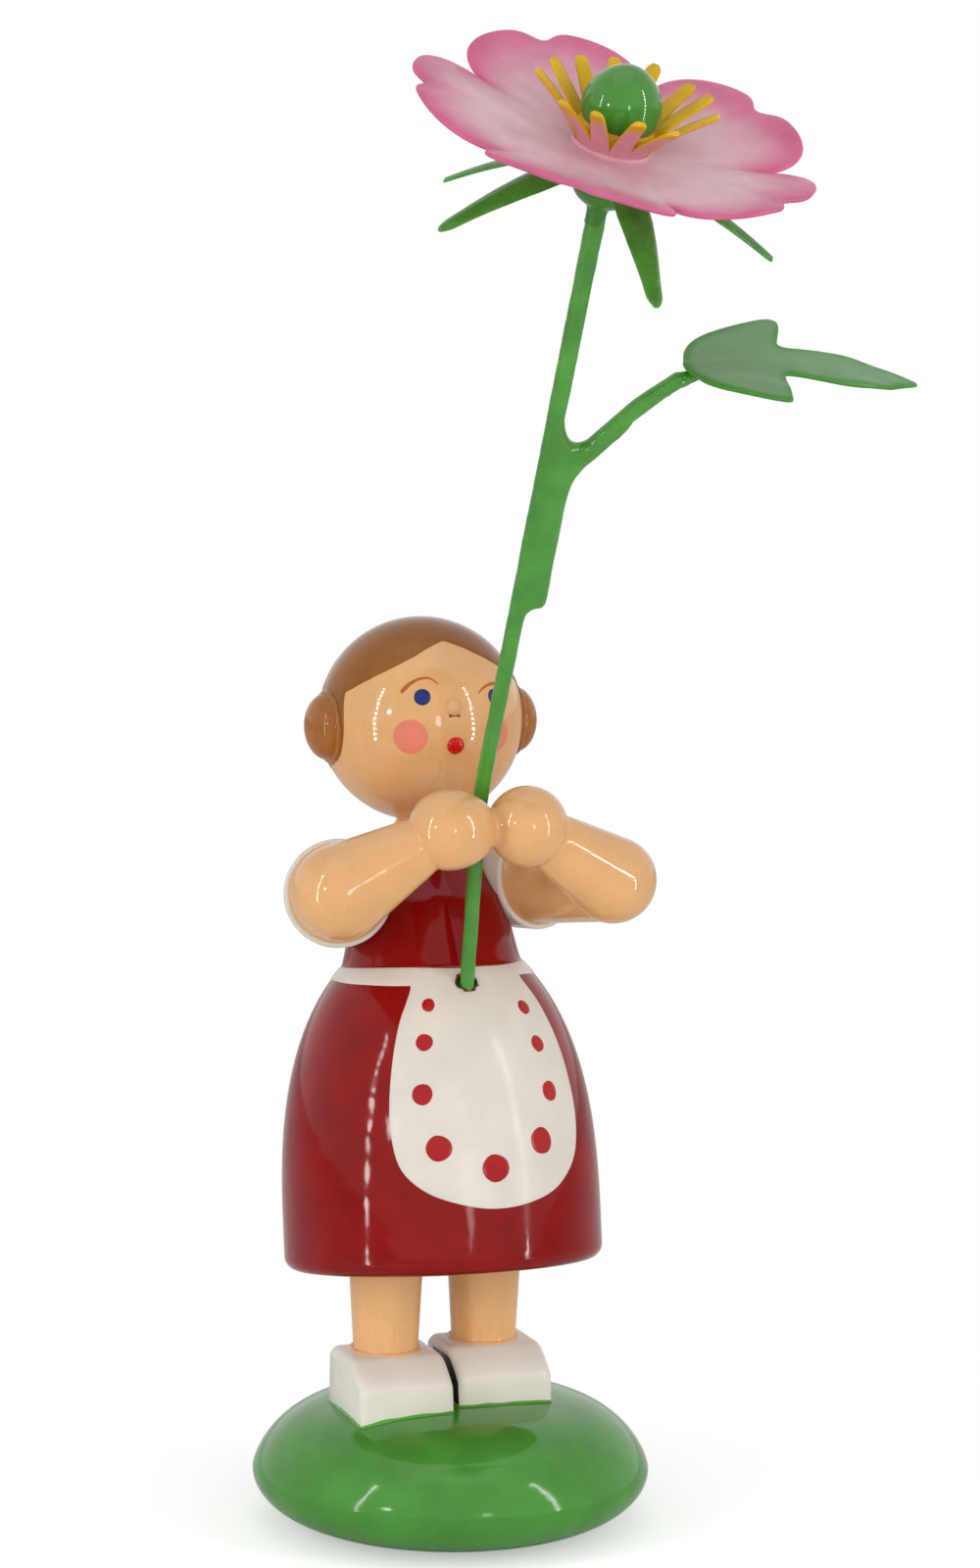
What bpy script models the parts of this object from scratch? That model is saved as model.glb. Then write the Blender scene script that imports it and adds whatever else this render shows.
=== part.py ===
"""Turned wooden figurine: a girl on a domed base who holds a long-stemmed flower.

Lengths are metres, +Z is up and the figure looks towards -Y, so its left hand is at +X.
The origin is the middle of the base's flat underside. Every piece is glued to the next,
and a named glue gap lies between each pair.
"""
import math

import bmesh
import bpy
from mathutils import Matrix, Vector
from mathutils.geometry import delaunay_2d_cdt

MM = 0.001

# Fits
GLUE_GAP = 0.15 * MM
WELD_DISTANCE = 0.002 * MM
SHEET = 0.4 * MM

# Base
BASE_RADIUS = 15.0 * MM
BASE_HEIGHT = 9.5 * MM
BASE_RIM_HEIGHT = 4.0 * MM
BASE_FOOT_RADIUS = 8.0 * MM
DOME_FLATNESS = 4.6
DOME_CROWN = 1.4

# Feet: the legs stand side by side, the left one a little further back
STANCE = Vector((-1.1 * MM, 0.7 * MM, 0.0))
LEG_SPACING = 8.25 * MM
STRIDE = 1.2 * MM
SHOE_WIDTH = 7.4 * MM
SHOE_LENGTH = 7.6 * MM
HEEL_HEIGHT = 3.9 * MM
TOE_HEIGHT = 1.75 * MM
HEEL_TO_LEG = 2.45 * MM
INSTEP = 2.5 * MM
TOE_BULGE = 0.12
SHOE_ROUNDING = 0.7 * MM

# Legs
LEG_LENGTH = 6.13 * MM
ANKLE_RADIUS = 2.45 * MM
KNEE_RADIUS = 2.95 * MM
LEG_SINK = 3.0 * MM
ANKLE_PEG_RADIUS = 1.2 * MM
ANKLE_PEG_LENGTH = 2.2 * MM

# Body: skirt and bodice, measured along an axis that leans back
BODY_LEAN = math.radians(8.6)
LEGS_BEHIND_AXIS = 1.95 * MM
HEM_RADIUS = 11.95 * MM
HEM_ROUNDING = 1.0 * MM
HEM_STRAIGHT = 3.0 * MM
SKIRT_HEIGHT = 22.6 * MM
SKIRT_FULLNESS = 2.6
WAIST_RADIUS = 6.7 * MM
BODICE_HEIGHT = 11.41 * MM
CHEST_RADIUS = 5.6 * MM
SHOULDER_DROP = 6.5 * MM
SHOULDER_ROUNDNESS = 1.2
COLLAR_RADIUS = 1.9 * MM

# Head
HEAD_RADIUS = 7.66 * MM
HEAD_SINK = 0.55 * MM
NOSE_RADIUS = 0.6 * MM
NOSE_PROUD = 0.4 * MM
NOSE_LIFT = math.radians(5.5)
NECK_PIN_RADIUS = 1.0 * MM
NECK_PIN_DEPTH = 3.2 * MM
BUN_RADIUS = 2.5 * MM
BUN_THICKNESS = 3.3 * MM
BUN_REACH = 7.4 * MM
BUN_DROP = 0.3 * MM

# Arms: places across, forward and up in the figure's own frame, for the left arm
HAND_RADIUS = 2.97 * MM
HAND_GAP = 0.16 * MM
HAND_FORWARD = 13.9 * MM
HAND_ABOVE_WAIST = 10.06 * MM
ELBOW_ACROSS = 10.6 * MM
ELBOW_FORWARD = 11.2 * MM
ELBOW_ABOVE_WAIST = 5.9 * MM
ELBOW_RADIUS = 3.55 * MM
LEFT_ELBOW_DROP = 0.15 * MM
LEFT_ELBOW_TRIM = 0.3 * MM
WRIST_RADIUS = 2.02 * MM
SHOULDER_FORWARD = 0.9 * MM
SHOULDER_ABOVE_WAIST = 5.5 * MM
LEFT_SHOULDER_LIFT = 0.75 * MM
SHOULDER_INSET = 2.1 * MM
SLEEVE_RADIUS = 4.05 * MM
SLEEVE_LENGTH = 2.3 * MM
SLEEVE_RIM = 0.2 * MM
ARM_RADIUS = 3.6 * MM
SHOULDER_PIN_RADIUS = 0.75 * MM
SHOULDER_PIN_HALF = 1.5 * MM

# Stem: from the hole in the skirt, behind the hands and on up to the flower
STEM_RADIUS = 0.55 * MM
STEM_TOP_RADIUS = 0.68 * MM
STEM_HOLE_RADIUS = 0.8 * MM
STEM_HOLE_BELOW_WAIST = 1.4 * MM
STEM_SINK = 4.5 * MM
STEM_BEHIND_HANDS = 2.2 * MM
BEND_ABOVE_HANDS = 2.45 * MM
BEND_LENGTH = 2.5 * MM
STEM_LEAN = math.radians(35.9)
STEM_RUN = 49.5 * MM

# Leaf and the second wire that carries it
BRANCH_RADIUS = 0.6 * MM
SPLICE_START = 17.0 * MM
SPLICE_LENGTH = 9.8 * MM
BRANCH_ACROSS = 8.6 * MM
BRANCH_RISE = 8.6 * MM
FORK_KNEE = 1.5 * MM
FORK_CURVE = 0.25
LEAF_ROLL = math.radians(38.5)
LEAF_DROOP = math.radians(5.6)
LEAF_LENGTH = 18.7 * MM
LEAF_HALF_WIDTH = 4.9 * MM
LEAF_ARCH = 0.9 * MM
LEAF_LIFT = 0.08
LEAF_SEAT = 2.0 * MM
NEAR_LOBE_REACH = 0.85

# Flower: heights are along its own axis, from the stem's end
FLOWER_TILT = math.radians(31.4)
FLOWER_SIDE_TILT = math.radians(6.7)
BLOOM_SHIFT = 0.35 * MM
CUP_HEIGHT = 3.35 * MM
CUP_RADIUS = 2.6 * MM
CUP_COLLAR_RADIUS = 1.2 * MM
CUP_SOCKET_DEPTH = 1.6 * MM
CUP_NECK_ANGLE = 60.0
SEPAL_LENGTH = 13.95 * MM
SEPAL_HALF_WIDTH = 1.33 * MM
SEPAL_HUB_MARGIN = 0.1 * MM
SEPAL_PHASE = math.radians(57.6)
# A sepal's half width along its length, both as shares
SEPAL_SHAPE = ((0.3, 0.98), (0.47, 0.97), (0.65, 0.8), (0.85, 0.54), (1.0, 0.3))
SEPAL_DROOP = 4.5 * MM
# Each sepal is bent by hand: its sideways turn in degrees, its droop and its length as shares
SEPAL_BENDS = ((0, 1.0, 1.0), (5, 1.45, 0.94), (-9, 1.22, 0.98), (-4, 1.08, 1.0), (0, 1.1, 0.98))
PETALS = 5
PETAL_RADIUS = 14.4 * MM
PETAL_GAP_RADIUS = 9.7 * MM
PETAL_CLEFT = 1.0 * MM
PETAL_CLEFT_SPREAD = 0.14
PETAL_RISE = 2.2 * MM
PETAL_ARCH = 1.0 * MM
PETAL_PHASE = math.radians(21.6)
FLOOR_RADIUS = 3.07 * MM
STAMENS = 12
STAMEN_HUB_RADIUS = 2.6 * MM
STAMEN_REACH = 6.3 * MM
STAMEN_RISE = 3.5 * MM
STAMEN_HALF_WIDTH = 0.5 * MM
PISTIL_RADIUS = 2.75 * MM
PISTIL_HEIGHT = 5.4 * MM
PISTIL_TAPER = 0.12
PISTIL_FOOT_RADIUS = 1.0 * MM

# Facets
LARGE_TURNING = 48
MEDIUM_TURNING = 32
SMALL_TURNING = 20
WIRE_SIDES = 2

# Paint
GREEN = (66, 148, 52)
RED = (140, 18, 22)
WHITE = (230, 224, 212)
SKIN = (232, 178, 120)
BROWN = (150, 92, 38)
PINK = (226, 160, 182)
YELLOW = (226, 186, 24)
BARE_WOOD = (205, 170, 120)


def linear(channel):
    """One 0 to 255 display colour channel as the linear value that a shader takes."""
    value = channel / 255.0
    return value / 12.92 if value <= 0.04045 else ((value + 0.055) / 1.055) ** 2.4


def paint(name, colour, roughness=0.25):
    """A Principled material of one colour."""
    material = bpy.data.materials.new(name)
    material.use_nodes = True
    shader = material.node_tree.nodes["Principled BSDF"]
    shader.inputs["Base Color"].default_value = [linear(c) for c in colour] + [1.0]
    shader.inputs["Roughness"].default_value = roughness
    shader.inputs["Metallic"].default_value = 0.0
    return material


def add_object(name, data, colour, parent=None, matrix=None):
    """Link mesh or curve data as a named object with its own material."""
    piece = bpy.data.objects.new(name, data)
    bpy.context.scene.collection.objects.link(piece)
    data.materials.append(paint(name + "_paint", colour))
    piece.parent = parent
    piece.matrix_basis = matrix if matrix is not None else Matrix.Identity(4)
    return piece


def finish_mesh(name, bm, smooth_angle=35.0):
    """Turn a bmesh into mesh data with its faces outward and round faces smooth."""
    bmesh.ops.remove_doubles(bm, verts=bm.verts, dist=WELD_DISTANCE)
    bmesh.ops.recalc_face_normals(bm, faces=bm.faces)
    mesh = bpy.data.meshes.new(name)
    bm.to_mesh(mesh)
    bm.free()
    mesh.shade_smooth()
    mesh.set_sharp_from_angle(angle=math.radians(smooth_angle))
    return mesh


def turned(name, profile, segments):
    """Spin a profile of (radius, height) points, from bottom to top, about the Z axis."""
    bm = bmesh.new()
    points = [bm.verts.new((radius, 0.0, height)) for radius, height in profile]
    lines = [bm.edges.new(pair) for pair in zip(points, points[1:])]
    bmesh.ops.spin(bm, geom=points + lines, cent=(0, 0, 0), axis=(0, 0, 1),
                   angle=math.tau, steps=segments, use_merge=True)
    return finish_mesh(name, bm)


def rod(name, radius, start, end):
    """A plain turned rod along Z, from one height to another."""
    return turned(name, [(0, start), (radius, start), (radius, end), (0, end)], SMALL_TURNING)


def arc(centre, radii, start, end, steps):
    """Points of an ellipse's arc in the (radius, height) plane, angles in degrees."""
    across, up = radii
    angles = [math.radians(start + (end - start) * k / steps) for k in range(steps + 1)]
    return [(centre[0] + across * math.cos(a), centre[1] + up * math.sin(a)) for a in angles]


def aim(place, direction):
    """A matrix that moves the origin to a place and turns Z along a direction."""
    return Matrix.Translation(place) @ direction.to_track_quat("Z", "Y").to_matrix().to_4x4()


def cut(piece, cutter_mesh, parent=None, matrix=None):
    """Cut a piece with a hidden tool that stands in its parent's frame."""
    tool = bpy.data.objects.new(piece.name + "_tool", cutter_mesh)
    bpy.context.scene.collection.objects.link(tool)
    tool.parent = parent
    tool.matrix_basis = matrix if matrix is not None else Matrix.Identity(4)
    tool.hide_render = True
    tool.display_type = "WIRE"
    modifier = piece.modifiers.new(tool.name, "BOOLEAN")
    modifier.operation = "DIFFERENCE"
    modifier.object = tool
    return tool


def frame_empty(name, parent, matrix):
    """An empty that carries the pieces of one leaning or tilted group."""
    empty = bpy.data.objects.new(name, None)
    bpy.context.scene.collection.objects.link(empty)
    empty.parent = parent
    empty.matrix_basis = matrix
    return empty


def wire(name, points, radii, colour, parent):
    """A round wire through points, each with its own radius."""
    curve = bpy.data.curves.new(name, "CURVE")
    curve.dimensions = "3D"
    curve.bevel_depth = 1.0 * MM
    curve.bevel_resolution = WIRE_SIDES
    curve.use_fill_caps = True
    spline = curve.splines.new("POLY")
    spline.points.add(len(points) - 1)
    for slot, point, radius in zip(spline.points, points, radii):
        slot.co = (*point, 1.0)
        slot.radius = radius / MM
    spline.use_smooth = True
    return add_object(name, curve, colour, parent)


# Places that several pieces share, all in the figure's own frame

def sided(side, across, forward, up):
    """A point of the figure: side is -1 for its right and +1 for its left."""
    return Vector((side * across, -forward, up))


HEEL_TOP = BASE_HEIGHT + GLUE_GAP + HEEL_HEIGHT
LEG_FOOT = HEEL_TOP + GLUE_GAP
HEM_CENTRE = Vector((STANCE.x, STANCE.y - LEGS_BEHIND_AXIS,
                     LEG_FOOT + LEG_LENGTH + LEGS_BEHIND_AXIS * math.tan(BODY_LEAN)))
FIGURE_FRAME = Matrix.Translation(HEM_CENTRE) @ Matrix.Rotation(-BODY_LEAN, 4, "X")
COLLAR_TOP = SKIRT_HEIGHT + BODICE_HEIGHT
HEAD_CENTRE = COLLAR_TOP - HEAD_SINK + math.sqrt(HEAD_RADIUS ** 2 - COLLAR_RADIUS ** 2)
HAND_UP = SKIRT_HEIGHT + HAND_ABOVE_WAIST
ELBOW_UP = SKIRT_HEIGHT + ELBOW_ABOVE_WAIST
SHOULDER_UP = SKIRT_HEIGHT + SHOULDER_ABOVE_WAIST


def hand_place(side):
    return sided(side, HAND_RADIUS + HAND_GAP / 2, HAND_FORWARD, HAND_UP)


def elbow_place(side):
    """Middle of the round elbow: the left one is glued a little lower."""
    up = ELBOW_UP if side < 0 else ELBOW_UP - LEFT_ELBOW_DROP
    return sided(side, ELBOW_ACROSS, ELBOW_FORWARD, up)


def elbow_radius(side):
    return ELBOW_RADIUS if side < 0 else ELBOW_RADIUS - LEFT_ELBOW_TRIM


def shoulder_up(side):
    return SHOULDER_UP if side < 0 else SHOULDER_UP + LEFT_SHOULDER_LIFT


def shoulder_place(side):
    """Middle of the sleeve's ball, let into the side of the bodice."""
    up = shoulder_up(side)
    return sided(side, bodice_radius(up) + SLEEVE_RADIUS - SHOULDER_INSET, SHOULDER_FORWARD, up)


def skirt_radius(height):
    """Outer radius of the skirt above the straight part of its hem."""
    waist_share = 1.0 - (WAIST_RADIUS / HEM_RADIUS) ** 2
    reach = (SKIRT_HEIGHT - HEM_STRAIGHT) / waist_share ** (1.0 / SKIRT_FULLNESS)
    climb = max(height - HEM_STRAIGHT, 0.0) / reach
    return HEM_RADIUS * math.sqrt(1.0 - climb ** SKIRT_FULLNESS)


def bodice_radius(height):
    """Outer radius of the bodice's cone between waist and shoulders."""
    share = (height - SKIRT_HEIGHT) / (BODICE_HEIGHT - SHOULDER_DROP)
    return WAIST_RADIUS + (CHEST_RADIUS - WAIST_RADIUS) * share


# Base, shoes and legs

def dome_profile(lift=0.0):
    """The base's outline: a flat foot, a rounded rim and a flattened dome."""
    rim = BASE_RIM_HEIGHT
    lower = arc((BASE_FOOT_RADIUS, rim), (BASE_RADIUS - BASE_FOOT_RADIUS, rim), -90, 0, 6)
    crown = BASE_HEIGHT - rim
    dome = []
    for k in range(1, 10):
        angle = math.pi / 2 * k / 10
        radius = BASE_RADIUS * math.cos(angle) ** (2.0 / DOME_FLATNESS)
        dome.append((radius, rim + crown * math.sin(angle) ** (2.0 / DOME_CROWN)))
    outline = [(0.0, 0.0)] + lower + dome + [(0.0, BASE_HEIGHT)]
    return [(radius, height + lift) for radius, height in outline]


def build_base():
    add_object("base", turned("base", dome_profile(), LARGE_TURNING), GREEN)


def leg_place(side):
    """Where a leg stands: the left one is set back by the stride."""
    return Vector((STANCE.x + side * LEG_SPACING / 2, STANCE.y + side * STRIDE / 2, 0.0))


def build_shoe(name, side):
    """A block with a flat top round the leg and a toe that slopes down in front."""
    back = HEEL_TO_LEG
    front = HEEL_TO_LEG - SHOE_LENGTH
    sole = BASE_HEIGHT - BASE_RIM_HEIGHT / 2
    toe = HEEL_TOP - HEEL_HEIGHT + TOE_HEIGHT
    middle = HEEL_TOP - (HEEL_TOP - toe) * (0.5 - TOE_BULGE)
    outline = [(back, sole), (back, HEEL_TOP), (-INSTEP, HEEL_TOP),
               ((front - INSTEP) / 2, middle), (front, toe), (front, sole)]
    bm = bmesh.new()
    wall = [bm.verts.new((-SHOE_WIDTH / 2, y, z)) for y, z in outline]
    face = bm.faces.new(wall)
    grown = bmesh.ops.extrude_face_region(bm, geom=[face])
    moved = [v for v in grown["geom"] if isinstance(v, bmesh.types.BMVert)]
    bmesh.ops.translate(bm, verts=moved, vec=(SHOE_WIDTH, 0, 0))
    bmesh.ops.recalc_face_normals(bm, faces=bm.faces)
    low = sole + WELD_DISTANCE
    sharp = [e for e in bm.edges if e.calc_face_angle(0.0) > math.radians(30)
             and max(v.co.z for v in e.verts) > low]
    bmesh.ops.bevel(bm, geom=sharp, offset=SHOE_ROUNDING, segments=3, affect="EDGES",
                    profile=0.5, clamp_overlap=True)
    shoe = add_object(name, finish_mesh(name, bm), WHITE, None,
                      Matrix.Translation(leg_place(side)))
    cut(shoe, turned(name + "_seat", dome_profile(GLUE_GAP), LARGE_TURNING))
    peg = rod(name + "_bore", ANKLE_PEG_RADIUS + GLUE_GAP,
              HEEL_TOP - ANKLE_PEG_LENGTH - GLUE_GAP, LEG_FOOT + GLUE_GAP)
    cut(shoe, peg, None, Matrix.Translation(leg_place(side)))


def leg_top():
    return LEG_LENGTH + LEG_SINK


def leg_radius(height):
    """The leg widens evenly from ankle to hem."""
    return ANKLE_RADIUS + (KNEE_RADIUS - ANKLE_RADIUS) * height / leg_top()


def build_leg(name, side):
    """A tapered leg with a thin peg below; its top goes into the skirt."""
    top = leg_top()
    profile = [(0.0, -ANKLE_PEG_LENGTH), (ANKLE_PEG_RADIUS, -ANKLE_PEG_LENGTH),
               (ANKLE_PEG_RADIUS, 0.0), (ANKLE_RADIUS, 0.0), (leg_radius(LEG_LENGTH), LEG_LENGTH),
               (leg_radius(top), top), (0.0, top)]
    foot = leg_place(side) + Vector((0, 0, LEG_FOOT))
    add_object(name, turned(name, profile, SMALL_TURNING), SKIN, None, Matrix.Translation(foot))


# Body and head

def bodice_profile(grow=0.0):
    """Waist, bodice and round shoulders up to the collar, grown outwards for a seat."""
    chest = COLLAR_TOP - SHOULDER_DROP
    power = SHOULDER_ROUNDNESS
    dome = SHOULDER_DROP / (1.0 - (COLLAR_RADIUS / CHEST_RADIUS) ** power) ** (1.0 / power)
    climbs = [SHOULDER_DROP * k / 8 for k in range(9)]
    shoulders = [(CHEST_RADIUS * (1.0 - (climb / dome) ** power) ** (1.0 / power), chest + climb)
                 for climb in climbs]
    outline = [(WAIST_RADIUS, SKIRT_HEIGHT)] + shoulders
    return [(radius + grow, height) for radius, height in outline]


def body_profile():
    """Hem, skirt, waist, bodice and collar in one turning."""
    hem = arc((HEM_RADIUS - HEM_ROUNDING, HEM_ROUNDING), (HEM_ROUNDING, HEM_ROUNDING), -90, 0, 4)
    steps = 12
    rise = SKIRT_HEIGHT - HEM_STRAIGHT
    heights = [HEM_STRAIGHT + rise * math.sin(math.pi / 2 * k / steps) for k in range(steps + 1)]
    skirt = [(skirt_radius(h), h) for h in heights[:-1]]
    return [(0.0, 0.0)] + hem + skirt + bodice_profile() + [(0.0, COLLAR_TOP)]


def build_body(figure):
    body = add_object("body", turned("body", body_profile(), LARGE_TURNING), RED, figure)
    for side in (-1, 1):
        bore = turned("leg_socket", [(0.0, 0.0), (leg_radius(0.0) + GLUE_GAP, 0.0),
                                     (leg_radius(leg_top()) + GLUE_GAP, leg_top() + GLUE_GAP),
                                     (0.0, leg_top() + GLUE_GAP)], SMALL_TURNING)
        cut(body, bore, None, Matrix.Translation(leg_place(side) + Vector((0, 0, LEG_FOOT))))
        pin_bore = rod("shoulder_bore", SHOULDER_PIN_RADIUS + GLUE_GAP,
                       -SHOULDER_PIN_HALF - GLUE_GAP, SHOULDER_PIN_HALF)
        cut(body, pin_bore, figure, shoulder_pin_frame(side))
    stem_bore = rod("stem_bore", STEM_HOLE_RADIUS, -STEM_SINK - GLUE_GAP, HEM_ROUNDING * 2)
    cut(body, stem_bore, figure, aim(stem_hole(), stem_rise()))
    cut(body, turned("head_seat", ball_profile(HEAD_RADIUS + GLUE_GAP), MEDIUM_TURNING), figure,
        Matrix.Translation((0, 0, HEAD_CENTRE)))
    cut(body, neck_bore(), figure)


def ball_profile(radius, squash=1.0):
    """A ball's outline, flattened along its axis by the squash."""
    return arc((0.0, 0.0), (radius, radius * squash), -90, 90, 14)


def head_bottom():
    return HEAD_CENTRE - HEAD_RADIUS


def neck_bore():
    """The drilled hole for the neck pin, through the collar and into the head."""
    return rod("neck_bore", NECK_PIN_RADIUS + GLUE_GAP,
               head_bottom() - NECK_PIN_DEPTH - GLUE_GAP, head_bottom() + NECK_PIN_DEPTH + GLUE_GAP)


def build_head(figure):
    place = Matrix.Translation((0, 0, HEAD_CENTRE))
    head = add_object("head", turned("head", ball_profile(HEAD_RADIUS), MEDIUM_TURNING), SKIN,
                      figure, place)
    cut(head, neck_bore(), figure)
    ahead = Vector((0, -math.cos(NOSE_LIFT), math.sin(NOSE_LIFT)))
    nose_reach = HEAD_RADIUS + NOSE_PROUD - NOSE_RADIUS
    nose_place = aim(Vector((0, 0, HEAD_CENTRE)) + ahead * nose_reach, ahead)
    cut(head, turned("nose_seat", ball_profile(NOSE_RADIUS + GLUE_GAP), SMALL_TURNING), figure,
        nose_place)
    nose = turned("nose", ball_profile(NOSE_RADIUS), SMALL_TURNING)
    add_object("nose", nose, SKIN, figure, nose_place)
    pin = rod("neck_pin", NECK_PIN_RADIUS, head_bottom() - NECK_PIN_DEPTH,
              head_bottom() + NECK_PIN_DEPTH)
    add_object("neck_pin", pin, BARE_WOOD, figure)


def build_bun(name, side, figure):
    """A flattened ball of hair, cut to sit on the side of the head."""
    flat = BUN_THICKNESS / 2 / BUN_RADIUS
    place = aim(Vector((side * BUN_REACH, 0, HEAD_CENTRE - BUN_DROP)), Vector((side, 0, 0)))
    bun = add_object(name, turned(name, ball_profile(BUN_RADIUS, flat), SMALL_TURNING), BROWN,
                     figure, place)
    cut(bun, turned(name + "_seat", ball_profile(HEAD_RADIUS + GLUE_GAP), MEDIUM_TURNING), figure,
        Matrix.Translation((0, 0, HEAD_CENTRE)))


# Arms

def forearm_profile(side, grow=0.0):
    """Ball hand at the origin, wrist, cone and the round elbow."""
    length = (elbow_place(side) - hand_place(side)).length
    hand = HAND_RADIUS + grow
    wrist = WRIST_RADIUS + grow
    elbow = elbow_radius(side) + grow
    wrist_angle = math.degrees(math.acos(wrist / hand))
    cone_angle = math.degrees(math.asin((elbow - wrist) / length))
    ball = arc((0.0, 0.0), (hand, hand), -90, wrist_angle, 10)
    end = arc((0.0, length), (elbow, elbow), -cone_angle, 90, 8)
    return ball + end


def forearm_frame(side):
    return aim(hand_place(side), elbow_place(side) - hand_place(side))


def build_forearm(name, side, figure):
    mesh = turned(name, forearm_profile(side), SMALL_TURNING)
    add_object(name, mesh, SKIN, figure, forearm_frame(side))


def shoulder_pin_frame(side):
    """The shoulder pin lies across, centred where the sleeve meets the bodice."""
    up = shoulder_up(side)
    return aim(sided(side, bodice_radius(up), SHOULDER_FORWARD, up), Vector((side, 0, 0)))


def upper_arm_profile(side):
    """Sleeve with a round back and a rim, and the bare arm that narrows to the elbow."""
    length = (elbow_place(side) - shoulder_place(side)).length
    back = arc((0.0, 0.0), (SLEEVE_RADIUS, SLEEVE_RADIUS), -90, 0, 6)
    rim = arc((SLEEVE_RADIUS - SLEEVE_RIM, SLEEVE_LENGTH - SLEEVE_RIM), (SLEEVE_RIM, SLEEVE_RIM),
              0, 90, 2)
    elbow = elbow_radius(side) - GLUE_GAP
    return back + rim + [(ARM_RADIUS, SLEEVE_LENGTH), (elbow, length), (0.0, length)]


def build_upper_arm(name, side, figure):
    shoulder = shoulder_place(side)
    mesh = turned(name, upper_arm_profile(side), SMALL_TURNING)
    arm = add_object(name, mesh, SKIN, figure, aim(shoulder, elbow_place(side) - shoulder))
    cope = turned(name + "_cope", forearm_profile(side, GLUE_GAP), SMALL_TURNING)
    cut(arm, cope, figure, forearm_frame(side))
    torso = [(0.0, SKIRT_HEIGHT)] + bodice_profile(GLUE_GAP) + [(0.0, COLLAR_TOP)]
    cut(arm, turned(name + "_seat", torso, LARGE_TURNING), figure)
    bore = rod(name + "_bore", SHOULDER_PIN_RADIUS + GLUE_GAP, -SHOULDER_PIN_HALF,
               SHOULDER_PIN_HALF + GLUE_GAP)
    cut(arm, bore, figure, shoulder_pin_frame(side))


def build_shoulder_pin(name, side, figure):
    pin = rod(name, SHOULDER_PIN_RADIUS, -SHOULDER_PIN_HALF, SHOULDER_PIN_HALF)
    add_object(name, pin, BARE_WOOD, figure, shoulder_pin_frame(side))


# Stem, branch and leaf

def stem_hole():
    """Mouth of the drilled hole on the front of the skirt, just below the waist."""
    height = SKIRT_HEIGHT - STEM_HOLE_BELOW_WAIST
    return Vector((0, -skirt_radius(height), height))


def stem_rise():
    """Direction of the lower stem, from its hole to just behind the hands."""
    nip = Vector((0, STEM_BEHIND_HANDS - HAND_FORWARD, HAND_UP))
    return (nip - stem_hole()).normalized()


def stem_bend():
    nip = Vector((0, STEM_BEHIND_HANDS - HAND_FORWARD, HAND_UP))
    return nip + stem_rise() * BEND_ABOVE_HANDS


def stem_lean():
    return Vector((0, -math.sin(STEM_LEAN), math.cos(STEM_LEAN)))


def stem_radius(run):
    """Radius at a distance above the bend: the lacquer is thicker towards the flower."""
    share = min(max(run / STEM_RUN, 0.0), 1.0)
    return STEM_RADIUS + (STEM_TOP_RADIUS - STEM_RADIUS) * share


def bezier(start, control, end, steps):
    """Points of a quadratic curve, without its first one."""
    shares = [k / steps for k in range(1, steps + 1)]
    return [(1 - s) ** 2 * start + 2 * s * (1 - s) * control + s ** 2 * end for s in shares]


def build_stem(figure):
    """One wire: up from its hole, bent behind the hands, then straight to the flower."""
    rise, bend, lean = stem_rise(), stem_bend(), stem_lean()
    start = stem_hole() - rise * STEM_SINK
    below = bend - rise * BEND_LENGTH
    above = bend + lean * BEND_LENGTH
    points = [start + (below - start) * k / 6 for k in range(7)]
    points += bezier(below, bend, above, 4)
    runs = [BEND_LENGTH + (STEM_RUN - BEND_LENGTH) * k / 12 for k in range(1, 13)]
    points += [bend + lean * run for run in runs]
    radii = [stem_radius((point - bend).dot(lean)) for point in points]
    wire("stem", points, radii, GREEN, figure)


def branch_end():
    """Where the branch reaches the leaf: beside the stem, in the plane of stem and X."""
    rise = SPLICE_START + SPLICE_LENGTH + BRANCH_RISE
    return stem_bend() + stem_lean() * rise + Vector((BRANCH_ACROSS, 0, 0))


def leaf_frame():
    """The leaf's frame: X along its midrib, Z square to its face."""
    roll = Matrix.Rotation(LEAF_ROLL, 4, "X") @ Matrix.Rotation(LEAF_DROOP, 4, "Y")
    seat = BRANCH_RADIUS + SHEET / 2 + GLUE_GAP
    place = branch_end() + roll.to_3x3() @ Vector((0, 0, seat))
    return Matrix.Translation(place) @ roll


def build_branch(figure):
    """The second wire: spliced along the stem, then out to the side and under the leaf."""
    bend, lean = stem_bend(), stem_lean()
    beside = stem_radius(SPLICE_START + SPLICE_LENGTH) + BRANCH_RADIUS + GLUE_GAP
    side = Vector((beside, 0, 0))
    low = bend + lean * SPLICE_START + side
    fork = low + lean * SPLICE_LENGTH
    end = branch_end()
    knee = fork + lean * FORK_KNEE
    out = knee + (end - knee) * FORK_CURVE
    points = [low + (fork - low) * k / 4 for k in range(5)]
    points += bezier(fork, knee, out, 4)
    points += [out + (end - out) * k / 5 for k in range(1, 6)]
    midrib = leaf_frame().to_3x3() @ Vector((1, 0, 0))
    points.append(end + midrib * LEAF_SEAT / 2)
    points.append(end + midrib * LEAF_SEAT)
    wire("leaf_branch", points, [BRANCH_RADIUS] * len(points), GREEN, figure)


def leaf_edge(side):
    """One side of the leaf's edge, lobe first: the lobe in front reaches less far."""
    reach = 1.0 if side > 0 else NEAR_LOBE_REACH
    lobe = ((0.02, 0.30), (0.12, 0.66), (0.29, 0.90), (0.42, 1.00), (0.46, 0.86), (0.44, 0.55),
            (0.42, 0.31))
    middle = ((0.53, 0.39), (0.66, 0.33), (0.82, 0.18))
    shares = [(along * reach, width) for along, width in lobe] + list(middle)
    return [(along * LEAF_LENGTH, side * width * LEAF_HALF_WIDTH) for along, width in shares]


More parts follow.
